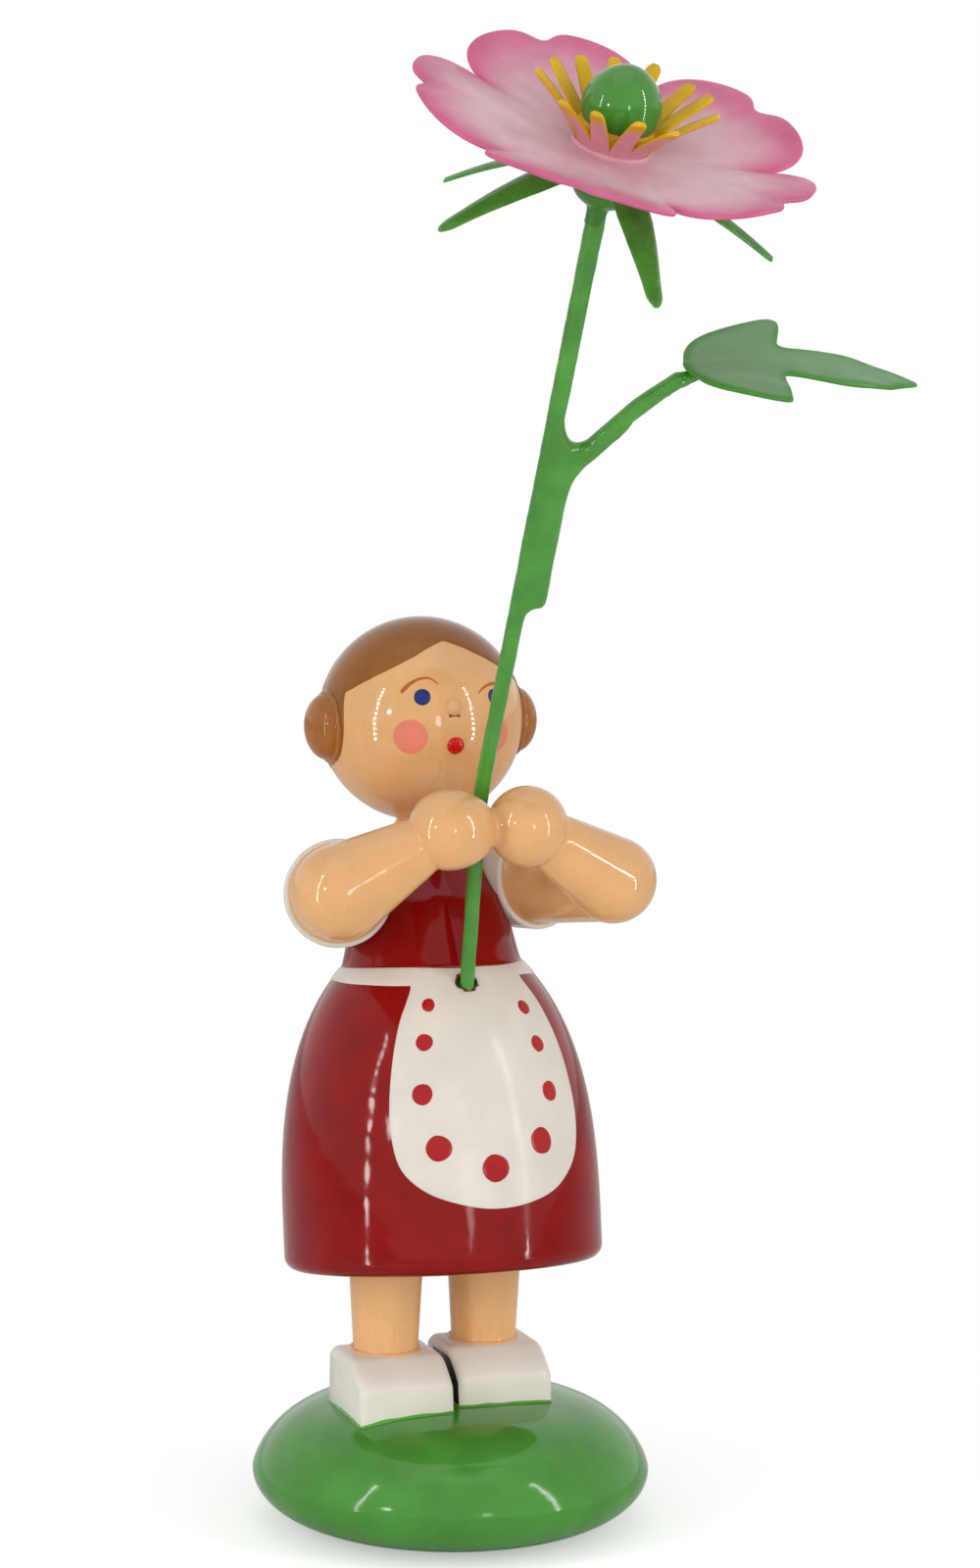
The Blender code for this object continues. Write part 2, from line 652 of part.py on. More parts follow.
def leaf_height(along, width):
    """The sheet is arched from end to end, and its side lobes are lifted a little."""
    share = along / LEAF_LENGTH
    return LEAF_ARCH * 4 * share * (1 - share) + abs(width) * LEAF_LIFT


def build_leaf(figure):
    """A three-lobed sheet leaf, filled flat between its edge and midrib, then bent."""
    near, far = leaf_edge(-1), leaf_edge(1)
    rib = [(LEAF_LENGTH * k / 8, 0.0) for k in range(9)]
    outline = [rib[0]] + near + [rib[-1]] + far[::-1]
    flat = [Vector(point) for point in outline + rib[1:-1]]
    chain = [0] + list(range(len(outline), len(flat))) + [len(near) + 1]
    filled = delaunay_2d_cdt(flat, list(zip(chain, chain[1:])), [list(range(len(outline)))], 1,
                             WELD_DISTANCE)
    bm = bmesh.new()
    verts = [bm.verts.new((point.x, point.y, leaf_height(*point))) for point in filled[0]]
    for face in filled[2]:
        bm.faces.new([verts[index] for index in face])
    leaf = add_object("leaf", finish_mesh("leaf", bm), GREEN, figure, leaf_frame())
    thicken(leaf)


def thicken(piece):
    """Give a sheet its thickness, half on each side."""
    modifier = piece.modifiers.new("thickness", "SOLIDIFY")
    modifier.thickness = SHEET
    modifier.offset = 0.0
    modifier.use_even_offset = False


# Flower

CALYX_HEIGHT = CUP_HEIGHT + GLUE_GAP + SHEET / 2
COROLLA_HEIGHT = CALYX_HEIGHT + SHEET + GLUE_GAP
CROWN_HEIGHT = COROLLA_HEIGHT + SHEET + GLUE_GAP
PISTIL_FOOT = CROWN_HEIGHT + SHEET / 2 + GLUE_GAP


def build_receptacle(flower):
    """A turned cup with a narrow collar, drilled for the end of the stem."""
    bowl = arc((0.0, CUP_HEIGHT), (CUP_RADIUS, CUP_HEIGHT), -CUP_NECK_ANGLE, 0, 7)
    profile = [(0.0, -GLUE_GAP), (CUP_COLLAR_RADIUS, -GLUE_GAP)] + bowl + [(0.0, CUP_HEIGHT)]
    cup = add_object("receptacle", turned("receptacle", profile, SMALL_TURNING), GREEN, flower)
    bore = rod("receptacle_bore", STEM_TOP_RADIUS + GLUE_GAP, -CUP_HEIGHT, CUP_SOCKET_DEPTH)
    cut(cup, bore, flower.parent, aim(stem_top(), stem_lean()))


def stem_top():
    return stem_bend() + stem_lean() * STEM_RUN


def star_sheet(name, hub_radius, arms, phase, stations, turn_of=lambda arm: 0.0):
    """A flat hub with a ring of arms, each drawn out through its stations.

    The stations of an arm give its distance from the axis, its height and its half
    width. An arm may be turned sideways by an angle from its even place.
    """
    bm = bmesh.new()
    step = math.pi / arms
    angles = [phase + step * (k - 0.5) for k in range(2 * arms)]
    corners = [bm.verts.new((hub_radius * math.cos(a), hub_radius * math.sin(a), 0))
               for a in angles]
    bm.faces.new(corners)
    for arm in range(arms):
        edge = bm.edges.get(corners[2 * arm:2 * arm + 2])
        angle = phase + 2 * step * arm + turn_of(arm)
        outward = Vector((math.cos(angle), math.sin(angle), 0))
        sideways = Vector((-outward.y, outward.x, 0))
        for distance, height, half_width in stations(arm):
            grown = bmesh.ops.extrude_edge_only(bm, edges=[edge])["geom"]
            ends = [item for item in grown if isinstance(item, bmesh.types.BMVert)]
            edge = bm.edges.get(ends)
            for vert in ends:
                turn = 1.0 if vert.co.dot(sideways) > 0 else -1.0
                spot = outward * distance + sideways * half_width * turn
                vert.co = spot + Vector((0, 0, height))
    return finish_mesh(name, bm)


def build_calyx(flower):
    """Five narrow sepals that droop from a small hub between cup and petals."""
    def stations(arm):
        _turn, droop_share, length_share = SEPAL_BENDS[arm]
        droop = SEPAL_DROOP * droop_share
        reach = math.sqrt((SEPAL_LENGTH * length_share) ** 2 - droop ** 2)
        return [(reach * share, -droop * share ** 1.5, SEPAL_HALF_WIDTH * width)
                for share, width in SEPAL_SHAPE]

    def turn_of(arm):
        return math.radians(SEPAL_BENDS[arm][0])

    hub_radius = (CUP_RADIUS + SEPAL_HUB_MARGIN) / math.cos(math.pi / (2 * PETALS))
    mesh = star_sheet("calyx", hub_radius, PETALS, SEPAL_PHASE, stations, turn_of)
    place = Matrix.Translation((0, 0, CALYX_HEIGHT))
    thicken(add_object("calyx", mesh, GREEN, flower, place))


def petal_side(angle):
    """How far a direction lies to the side in its petal: 0 at the middle, 1 at a gap."""
    sector = math.tau / PETALS
    off = (angle - PETAL_PHASE + sector / 2) % sector - sector / 2
    return abs(off) / (sector / 2)


def petal_edge(angle):
    """Distance of the corolla's edge from its axis, in a direction."""
    side = petal_side(angle)
    lobe = (PETAL_RADIUS - PETAL_GAP_RADIUS) * math.sqrt(1.0 - side ** 4)
    cleft = PETAL_CLEFT * math.exp(-(side / PETAL_CLEFT_SPREAD) ** 2)
    return PETAL_GAP_RADIUS + lobe - cleft


def petal_height(distance, angle):
    """Flat over the cup, then rising, with each petal arched from side to side."""
    out = max(distance - FLOOR_RADIUS, 0.0)
    rise = PETAL_RISE * out / (PETAL_RADIUS - FLOOR_RADIUS)
    bent = min(out / (PETAL_GAP_RADIUS - FLOOR_RADIUS), 1.0)
    return rise - PETAL_ARCH * bent * petal_side(angle) ** 2


def build_corolla(bloom):
    """One dished sheet with five petals, each split into two round lobes."""
    bm = bmesh.new()
    steps = PETALS * 14
    rings = 5
    centre = bm.verts.new((0, 0, 0))
    loops = []
    angles = [PETAL_PHASE + math.tau * k / steps for k in range(steps)]
    for ring in range(rings):
        loop = []
        for angle in angles:
            reach = petal_edge(angle)
            distance = FLOOR_RADIUS + (reach - FLOOR_RADIUS) * ring / (rings - 1)
            height = petal_height(distance, angle)
            spot = (distance * math.cos(angle), distance * math.sin(angle), height)
            loop.append(bm.verts.new(spot))
        loops.append(loop)
    for k in range(steps):
        after = (k + 1) % steps
        bm.faces.new((centre, loops[0][k], loops[0][after]))
        for inner, outer in zip(loops, loops[1:]):
            bm.faces.new((inner[k], outer[k], outer[after], inner[after]))
    place = Matrix.Translation((0, 0, COROLLA_HEIGHT))
    thicken(add_object("corolla", finish_mesh("corolla", bm), PINK, bloom, place))


def build_stamen_crown(bloom):
    """One stamped crown whose narrow strips stand up and lean outwards."""
    def stations(_arm):
        spread = STAMEN_REACH - STAMEN_HUB_RADIUS
        return [(STAMEN_HUB_RADIUS + spread * share, STAMEN_RISE * share ** 0.8,
                 STAMEN_HALF_WIDTH) for share in (0.12, 0.4, 0.7, 1.0)]

    mesh = star_sheet("stamen_crown", STAMEN_HUB_RADIUS, STAMENS, PETAL_PHASE, stations)
    place = Matrix.Translation((0, 0, CROWN_HEIGHT))
    thicken(add_object("stamen_crown", mesh, YELLOW, bloom, place))


def build_pistil(bloom):
    """An egg-shaped bead, narrower above, with a small flat foot."""
    middle = PISTIL_HEIGHT / 2
    foot = -math.degrees(math.acos(PISTIL_FOOT_RADIUS / PISTIL_RADIUS))
    oval = arc((0.0, 0.0), (PISTIL_RADIUS, middle), foot, 90, 11)
    egg = [(radius * (1.0 - PISTIL_TAPER * height / middle), height) for radius, height in oval]
    profile = [(0.0, 0.0)] + [(radius, height - oval[0][1]) for radius, height in egg]
    place = Matrix.Translation((0, 0, PISTIL_FOOT))
    add_object("pistil", turned("pistil", profile, SMALL_TURNING), GREEN, bloom, place)


def main():
    for old in list(bpy.data.objects):
        bpy.data.objects.remove(old, do_unlink=True)
    figure = frame_empty("figure", None, FIGURE_FRAME)
    tilt = Matrix.Rotation(FLOWER_TILT, 4, "X") @ Matrix.Rotation(FLOWER_SIDE_TILT, 4, "Y")
    flower = frame_empty("flower", figure, Matrix.Translation(stem_top()) @ tilt)
    build_base()
    build_body(figure)
    build_head(figure)
    for word, side in (("right", -1), ("left", 1)):
        build_shoe("shoe_" + word, side)
        build_leg("leg_" + word, side)
        build_bun("bun_" + word, side, figure)
        build_shoulder_pin("shoulder_pin_" + word, side, figure)
        build_upper_arm("upper_arm_" + word, side, figure)
        build_forearm("forearm_" + word, side, figure)
    build_stem(figure)
    build_branch(figure)
    build_leaf(figure)
    bloom = frame_empty("bloom", flower, Matrix.Translation((-BLOOM_SHIFT, 0, 0)))
    build_receptacle(flower)
    build_calyx(flower)
    build_corolla(bloom)
    build_stamen_crown(bloom)
    build_pistil(bloom)
    bpy.context.view_layer.update()


main()
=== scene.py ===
"""Looks of the turned flower figurine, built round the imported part.

Sizes are in millimetres, in the figure's own leaning frame where they belong to the
figure, and turn into metres in the row frame when a piece is made.
"""
import random
from math import acos, asin, atan2, cos, degrees, exp, hypot, pi, radians, sin, sqrt, tau

import bmesh
import bpy
import numpy as np
from mathutils import Matrix, Vector, noise
from mathutils.geometry import delaunay_2d_cdt


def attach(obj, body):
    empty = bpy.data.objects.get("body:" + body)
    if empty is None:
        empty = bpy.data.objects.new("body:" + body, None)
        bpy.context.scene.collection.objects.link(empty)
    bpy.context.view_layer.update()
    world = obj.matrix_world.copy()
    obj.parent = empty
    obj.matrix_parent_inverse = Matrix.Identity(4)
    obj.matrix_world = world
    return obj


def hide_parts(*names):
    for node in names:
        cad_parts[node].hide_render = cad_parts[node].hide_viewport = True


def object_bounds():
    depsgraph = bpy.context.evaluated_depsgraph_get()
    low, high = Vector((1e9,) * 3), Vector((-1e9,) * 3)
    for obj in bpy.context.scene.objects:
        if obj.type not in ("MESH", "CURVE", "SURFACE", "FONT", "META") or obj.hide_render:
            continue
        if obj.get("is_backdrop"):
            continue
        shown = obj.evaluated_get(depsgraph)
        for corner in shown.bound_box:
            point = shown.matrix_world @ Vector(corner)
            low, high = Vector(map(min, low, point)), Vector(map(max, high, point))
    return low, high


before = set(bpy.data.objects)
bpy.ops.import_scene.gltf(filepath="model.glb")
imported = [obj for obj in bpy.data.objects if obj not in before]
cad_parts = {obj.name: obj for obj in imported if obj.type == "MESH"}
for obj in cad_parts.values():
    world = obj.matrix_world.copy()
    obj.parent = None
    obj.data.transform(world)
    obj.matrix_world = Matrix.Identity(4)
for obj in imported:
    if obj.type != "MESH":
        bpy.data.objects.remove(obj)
CAD_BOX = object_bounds()

MM = Matrix.Scale(0.001, 4)
WORLD = Matrix.Identity(4)

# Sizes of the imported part: lengths in mm, angles in radians, and powers of its curves
BASE_RADIUS = 15.0
BASE_HEIGHT = 9.5
BASE_RIM = 4.0
BASE_FOOT = 8.0
DOME_SIDE = 4.6
DOME_TOP = 1.4
SHOE_TOP = 13.55
SHOE_WIDTH = 7.4
SHOE_BACK = 2.45
SHOE_FRONT = -5.15
SHOE_SOLE = 8.6
SHOE_ROUNDING = 0.72
LEG_FOOT = 13.7
LEG_LENGTH = 9.13
ANKLE = 2.45
LEG_FLARE = 0.5
LEG_SPACING = 8.25
STRIDE = 1.2
STANCE = (-1.1, 0.7)
LEAN = radians(8.6)
FIGURE = Matrix.Translation((-1.1, -1.25, 20.125)) @ Matrix.Rotation(-LEAN, 4, "X")
HEM_RADIUS = 11.95
HEM_STRAIGHT = 3.0
SKIRT_HEIGHT = 22.6
FULLNESS = 2.6
WAIST = 6.7
CHEST = 5.6
COLLAR = 1.9
COLLAR_TOP = 34.01
SHOULDER_DROP = 6.5
SHOULDER_POWER = 0.9
NECK_PAINT = 32.6
HEAD_R = 7.66
HEAD_UP = 40.88
NOSE_LIFT = 5.5
NOSE_R = 0.6
NOSE_DEPTH = 0.2
BUN_R = 2.5
BUN_THICKNESS = 3.3
BUN_OUT = 7.4
BUN_DROP = 0.3
HAND_R = 2.97
HAND = Vector((3.05, -13.9, 32.66))
ELBOW = Vector((10.6, -11.2, 28.5))
ELBOW_R = 3.55
WRIST_R = 2.02
SLEEVE_R = 4.05
SLEEVE_INSET = 2.1
SLEEVE_LENGTH = 2.3
ARM_R = 3.6
SHOULDER_UP = 28.1
SHOULDER_BACK = -0.9
LEFT_SHOULDER_RISE = 0.75
LEFT_ELBOW_DROP = 0.15
LEFT_ELBOW_THINNER = 0.3
STEM_R = 0.55
STEM_TOP_R = 0.68
STEM_HOLE = Vector((0.0, -7.877, 21.2))
STEM_BEND = Vector((0.0, -12.475, 34.984))
STEM_ANGLE = radians(35.9)
STEM_LEAN = Vector((0.0, -sin(STEM_ANGLE), cos(STEM_ANGLE)))
STEM_RUN = 49.5
STEM_SINK = 4.3
BEND_REACH = 2.5
BRANCH_R = 0.6
BRANCH_OUT = 8.6
SPLICE_START = 17.0
SPLICE_LENGTH = 9.8
LEAF_LENGTH = 18.7
LEAF_ROLL = radians(38.5)
LEAF_DROOP = radians(5.6)
LEAF_ARCH = 0.9
LEAF_LIFT = 0.08
CUP_HEIGHT = 3.35
CUP_R = 2.6
SHEET = 0.4
GAP = 0.15
PETAL_R = 14.4
PETAL_GAP_R = 9.7
PETAL_RISE = 2.2
PETAL_ARCH = 1.0
FLOOR_R = 3.07
PETAL_PHASE = radians(21.6)
PETAL_FRONT = radians(-110.0)
SEPAL_PHASE = radians(57.6)
SEPAL_LENGTH = 13.95
SEPAL_HALF = 1.33
SEPAL_DROOP = 4.5
CROWN_HUB = 2.5
EGG_R = 2.75
EGG_HEIGHT = 5.4
EGG_TAPER = 0.14


# Materials

def linear(channel):
    value = channel / 255.0
    return value / 12.92 if value <= 0.04045 else ((value + 0.055) / 1.055) ** 2.4


def rgb(colour, lift=1.0):
    return [min(linear(c) * lift, 1.0) for c in colour] + [1.0]


class Nodes:
    """A small helper that adds and joins the nodes of a material or of the world."""

    def __init__(self, owner, shader="Principled BSDF"):
        owner.use_nodes = True
        self.owner = owner
        self.tree = owner.node_tree
        self.shader = self.tree.nodes[shader]
        self.coord = None

    def add(self, kind, inputs=(), **settings):
        node = self.tree.nodes.new("ShaderNode" + kind)
        for key, value in settings.items():
            setattr(node, key, value)
        for key, value in dict(inputs).items():
            self.set(node, key, value)
        return node

    def set(self, node, key, value):
        if isinstance(value, bpy.types.NodeSocket):
            self.tree.links.new(value, node.inputs[key])
        else:
            node.inputs[key].default_value = value

    def noise(self, scale, detail=3.0, roughness=0.5, coord=None):
        return self.add("TexNoise", {"Vector": coord or self.coord, "Scale": scale,
                                     "Detail": detail, "Roughness": roughness}).outputs["Fac"]

    def ramp(self, value, low, high, to_low=0.0, to_high=1.0):
        return self.add("MapRange", enumerate((value, low, high, to_low, to_high)),
                        interpolation_type="SMOOTHSTEP").outputs["Result"]

    def cloud(self, scale):
        return self.ramp(self.noise(scale, 4.0, 0.55), 0.3, 0.7)

    def rough(self, scale, low, high):
        return self.ramp(self.noise(scale), 0.25, 0.75, low, high)

    def mix(self, share, first, second):
        return self.add("Mix", {0: share, 6: first, 7: second}, data_type="RGBA").outputs[2]

    def math(self, operation, first, second):
        return self.add("Math", {0: first, 1: second}, operation=operation).outputs[0]

    def bump(self, height, distance, strength, below=None):
        inputs = {"Height": height, "Distance": distance, "Strength": strength}
        if below is not None:
            inputs["Normal"] = below
        return self.add("Bump", inputs).outputs["Normal"]

    def finish(self, colour, roughness, normal, shine=0.3):
        for key, value in (("Base Color", colour), ("Roughness", roughness), ("Normal", normal),
                           ("Specular IOR Level", shine)):
            self.set(self.shader, key, value)
        return self.owner


def paint_nodes(name):
    n = Nodes(bpy.data.materials.new(name))
    n.coord = n.add("TexCoord").outputs["Object"]
    return n


def lacquer(name, colour, dark=0.86, light=1.08, wobble=0.05, gloss=0.1, specks=0.0, shine=0.3):
    """Brushed-on gloss lacquer: uneven colour, slow waves in the coat and fine specks."""
    n = paint_nodes(name)
    tone = n.mix(n.cloud(260.0), rgb(colour, dark), rgb(colour, light))
    fine = n.ramp(n.noise(5200.0, 2.0, 0.6), 0.62, 0.8, 0.0, 0.25)
    tone = n.mix(fine, tone, rgb(colour, dark * 0.8))
    if specks:
        dust = n.ramp(n.noise(2600.0, 1.0, 0.4), 0.76, 0.8, 0.0, specks)
        tone = n.mix(dust, tone, rgb(colour, 0.35))
    waves = n.bump(n.noise(420.0, 2.0, 0.4), 0.001 * wobble, 0.8)
    skin = n.bump(n.noise(2400.0, 3.0, 0.55), 0.001 * wobble * 0.12, 0.6, waves)
    return n.finish(tone, n.rough(700.0, gloss * 0.8, gloss * 1.35), skin, shine)


def wood_lacquer(name, colour, dark=0.9, light=1.06, gloss=0.1, grain=0.1, shine=0.3):
    """Lacquer over turned wood: faint upright grain shows through the colour."""
    n = paint_nodes(name)
    stretch = n.add("Mapping", {"Vector": n.coord, "Scale": (1.0, 1.0, 0.12)})
    lines = n.noise(2600.0, 4.0, 0.6, stretch.outputs[0])
    tone = n.mix(n.cloud(220.0), rgb(colour, dark), rgb(colour, light))
    tone = n.mix(n.ramp(lines, 0.5, 0.72, 0.0, grain * 2), tone, rgb(colour, dark * 0.72))
    waves = n.bump(n.noise(380.0, 2.0, 0.4), 0.00005, 0.8)
    skin = n.bump(lines, 0.000006, 0.5, waves)
    return n.finish(tone, n.rough(640.0, gloss * 0.8, gloss * 1.3), skin, shine)


def satin(name, colour, second, gloss=0.42, fade=None):
    """Satin paint of two colours: in clouds, or along the edge attribute where it fades."""
    n = paint_nodes(name)
    cloud = n.cloud(330.0)
    first = n.mix(cloud, rgb(colour, 0.93), rgb(colour, 1.05))
    last = n.mix(cloud, rgb(second, 0.9), rgb(second, 1.06))
    if fade:
        drift = n.math("MULTIPLY", n.math("SUBTRACT", n.noise(240.0, 3.0, 0.6), 0.5), 0.35)
        edge = n.add("Attribute", attribute_name="edge").outputs["Fac"]
        share = n.ramp(n.math("ADD", edge, drift), *fade)
    else:
        share = n.ramp(n.noise(520.0, 3.0, 0.6), 0.35, 0.75)
    tone = n.mix(share, first, last)
    fine = n.noise(3600.0, 3.0, 0.6)
    tone = n.mix(n.ramp(fine, 0.55, 0.8, 0.0, 0.16), tone, rgb(second, 0.82))
    waves = n.bump(n.noise(600.0), 0.00004, 0.7)
    skin = n.bump(fine, 0.000008, 0.6, waves)
    return n.finish(tone, n.rough(900.0, gloss * 0.85, gloss * 1.2), skin)


def shaded_side(name, dark, clean, start, end):
    """Lacquer with painted shade in the narrow gap beside the other shoe, clean behind its heel."""
    n = paint_nodes(name)
    back = n.add("SeparateXYZ", {"Vector": n.coord}).outputs["Y"]
    cloud = n.cloud(700.0)
    # The dark colour is painted shade: the gap between the shoes gets little light
    gap_shade = n.mix(cloud, rgb(dark, 0.7), rgb(dark, 1.2))
    coat = n.mix(cloud, rgb(clean, 0.95), rgb(clean, 1.02))
    tone = n.mix(n.ramp(back, 0.001 * start, 0.001 * end), gap_shade, coat)
    skin = n.bump(n.noise(2400.0, 3.0, 0.55), 0.000006, 0.6)
    return n.finish(tone, n.ramp(cloud, 0.0, 1.0, 0.3, 0.4), skin)


GREEN = lacquer("green_lacquer", (74, 146, 54), 0.86, 1.06, 0.05, 0.09, 0.3)
STEM_GREEN = lacquer("stem_lacquer", (72, 148, 48), 0.78, 1.12, 0.3, 0.06, 0.0, 0.5)
# The receptacle's green, darker than the base's: painted shade under the petals
CUP_SHADE_GREEN = lacquer("cup_shade_lacquer", (66, 128, 44), 0.82, 1.08, 0.06, 0.12)
# The beads at the shoes' soles: green lacquer, written lighter than the base's green as painted
# highlight along the contact line
SEAM_GREEN = lacquer("seam_lacquer", (90, 162, 58), 0.84, 1.12, 0.1, 0.08)
# Near-black green painted as the shade inside the stem's drilled hole
HOLE_SHADE_GREEN = lacquer("hole_shade_lacquer", (26, 72, 24), 0.7, 1.1, 0.08, 0.14)
EGG_GREEN = lacquer("bead_lacquer", (64, 140, 42), 0.84, 1.1, 0.04, 0.05, 0.0, 0.5)
RED = wood_lacquer("red_lacquer", (142, 7, 8), 0.82, 1.06, 0.07, 0.14, 0.22)
WHITE = lacquer("white_lacquer", (224, 218, 208), 0.94, 1.02, 0.05, 0.2, 0.1, 0.2)
# The shoes' white lacquer, written lighter than the apron's white: painted light against the shade
# under the skirt
LIT_SHOE_WHITE = lacquer("lit_shoe_lacquer", (238, 232, 220), 0.95, 1.02, 0.05, 0.2, 0.1)
# The left shoe's inner side: painted shade in the gap beside the other shoe, then the shoes'
# lightened white behind the heel
SHOE_GAP_SHADE = shaded_side("shoe_gap_shade_lacquer", (46, 40, 32), (238, 232, 220), 2.1, 2.5)
SKIN = wood_lacquer("skin_lacquer", (227, 172, 115), 0.94, 1.03, 0.06, 0.07, 0.45)
# The legs' skin, written lighter than SKIN: painted light against the shade under the skirt
LIT_LEG_SKIN = wood_lacquer("lit_leg_lacquer", (240, 185, 126), 0.95, 1.03, 0.12, 0.08)
# Dark brown painted as the shadow under the nose bead
NOSE_SHADOW_BROWN = lacquer("nose_painted_shadow_lacquer", (118, 70, 30), 0.8, 1.2, 0.02, 0.2)
BROWN = wood_lacquer("hair_lacquer", (146, 88, 30), 0.84, 1.1, 0.08, 0.2, 0.22)
BUN_BROWN = wood_lacquer("bun_lacquer", (168, 104, 42), 0.84, 1.08, 0.08, 0.2, 0.3)
BLUE = lacquer("eye_lacquer", (22, 40, 122), 0.8, 1.2, 0.02, 0.1)
EYE_RIM = lacquer("eye_rim_lacquer", (14, 24, 78), 0.8, 1.2, 0.02, 0.12)
MOUTH_RED = lacquer("mouth_lacquer", (198, 12, 5), 0.9, 1.1, 0.02, 0.06, 0.0, 0.35)
DOT_RED = lacquer("dot_lacquer", (172, 16, 18), 0.86, 1.1, 0.02, 0.12)
BROW = lacquer("brow_lacquer", (182, 100, 22), 0.85, 1.1, 0.02, 0.2)
CHEEK = satin("cheek_paint", (230, 130, 106), (232, 152, 108), 0.14, (0.75, 1.0))
PETAL = satin("petal_paint", (226, 184, 194), (214, 100, 142), 0.36, (0.42, 1.0))
PETAL_BACK = satin("petal_back_paint", (212, 146, 162), (204, 96, 134), 0.45, (0.5, 1.0))
CROWN_SEAM = satin("crown_seam_paint", (226, 176, 186), (222, 166, 178), 0.36)
STAMEN = satin("stamen_paint", (218, 172, 14), (230, 186, 30), 0.36)
STAMEN_POOL = lacquer("stamen_pool_lacquer", (216, 158, 10), 0.84, 1.08, 0.1, 0.14)
STAMEN_BACK = satin("stamen_back_paint", (226, 158, 170), (220, 172, 20), 0.4, (0.6, 0.85))
# The leaf's top: greyish green painted as the sheen on its top, fading to its plain green at the
# edge
LEAF_TOP_SHEEN = satin("leaf_sheen_paint", (110, 153, 105), (68, 138, 46), 0.34, (0.62, 1.0))
LEAF_BACK = satin("leaf_back_paint", (62, 132, 42), (52, 114, 36), 0.4)
SEPAL = satin("sepal_paint", (76, 146, 48), (62, 126, 38), 0.26)
PIN_WOOD = satin("pin_wood", (206, 168, 116), (176, 132, 82), 0.6)


# Mesh helpers

def add_object(name, data):
    thing = bpy.data.objects.new(name, data)
    bpy.context.scene.collection.objects.link(thing)
    return thing


def make_mesh(name, bm, placing, materials):
    """Turn a bmesh in mm into a mesh in metres."""
    bmesh.ops.recalc_face_normals(bm, faces=bm.faces)
    mesh = bpy.data.meshes.new(name)
    bm.to_mesh(mesh)
    bm.free()
    mesh.transform(MM @ placing)
    for material in materials:
        mesh.materials.append(material)
    return mesh


def make_piece(name, bm, placing, materials, node=None, slot=None, sharp=40.0):
    """A piece that rides on the figure and may take the place of one of its nodes."""
    mesh = make_mesh(name, bm, placing, materials)
    mesh.shade_smooth()
    mesh.set_sharp_from_angle(angle=radians(sharp))
    piece = add_object(name, mesh)
    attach(piece, "root")
    if node:
        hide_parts(node)
    slot or node
    return piece


def arc(centre, radii, start, end, steps):
    across, up = radii
    angles = [radians(start + (end - start) * k / steps) for k in range(steps + 1)]
    return [(centre[0] + across * cos(a), centre[1] + up * sin(a)) for a in angles]


def circle(radius, height, count=48):
    turns = [tau * k / count for k in range(count)]
    return [Vector((radius * cos(a), radius * sin(a), height)) for a in turns]


def ball(radius, half_height, steps):
    """Half outline of a ball or a flattened one, from pole to pole."""
    side = arc((0.0, 0.0), (radius, half_height), -90, 90, steps)[1:-1]
    return [(0.0, -half_height)] + side + [(0.0, half_height)]


def bridge(bm, low, high, slots=(0,)):
    """Faces between two rings, either of which may be a single point."""
    count = max(len(low), len(high))
    for k in range(count):
        after = (k + 1) % count
        corners = dict.fromkeys((low[k % len(low)], low[after % len(low)],
                                 high[after % len(high)], high[k % len(high)]))
        face = bm.faces.new(list(corners))
        face.material_index = slots[k % len(slots)]


def lathe(profile, segments, slots=None):
    """A turned mesh from (radius, height) points; slots gives each band its material."""
    bm = bmesh.new()
    rings = []
    for radius, height in profile:
        points = circle(radius, height, segments if radius > 1e-6 else 1)
        rings.append([bm.verts.new(point) for point in points])
    for band, (low, high) in enumerate(zip(rings, rings[1:])):
        bridge(bm, low, high, slots[band:band + 1] if slots else (0,))
    return bm


def raised(height):
    return Matrix.Translation((0, 0, height))


def aim(place, direction):
    return Matrix.Translation(place) @ direction.to_track_quat("Z", "Y").to_matrix().to_4x4()


def smooth_line(points, per_step, closed=False):
    """Points of a Catmull-Rom curve through the given flat or solid ones."""
    points = [Vector(p).to_3d() for p in points]
    count = len(points)
    result = []
    for k in range(count if closed else count - 1):
        near = range(k - 1, k + 3)
        a, b, c, d = (points[j % count if closed else min(max(j, 0), count - 1)] for j in near)
        for step in range(per_step):
            t = step / per_step
            result.append(0.5 * (2 * b + (c - a) * t + (2 * a - 5 * b + 4 * c - d) * t * t
                                 + (3 * b - a - 3 * c + d) * t ** 3))
    return result if closed else result + [points[-1]]


# A tube's rounded end: how much of the width is left at each step, and how far it rises
TUBE_END = ((cos(radians(30)), 0.35), (0.58, 0.25))


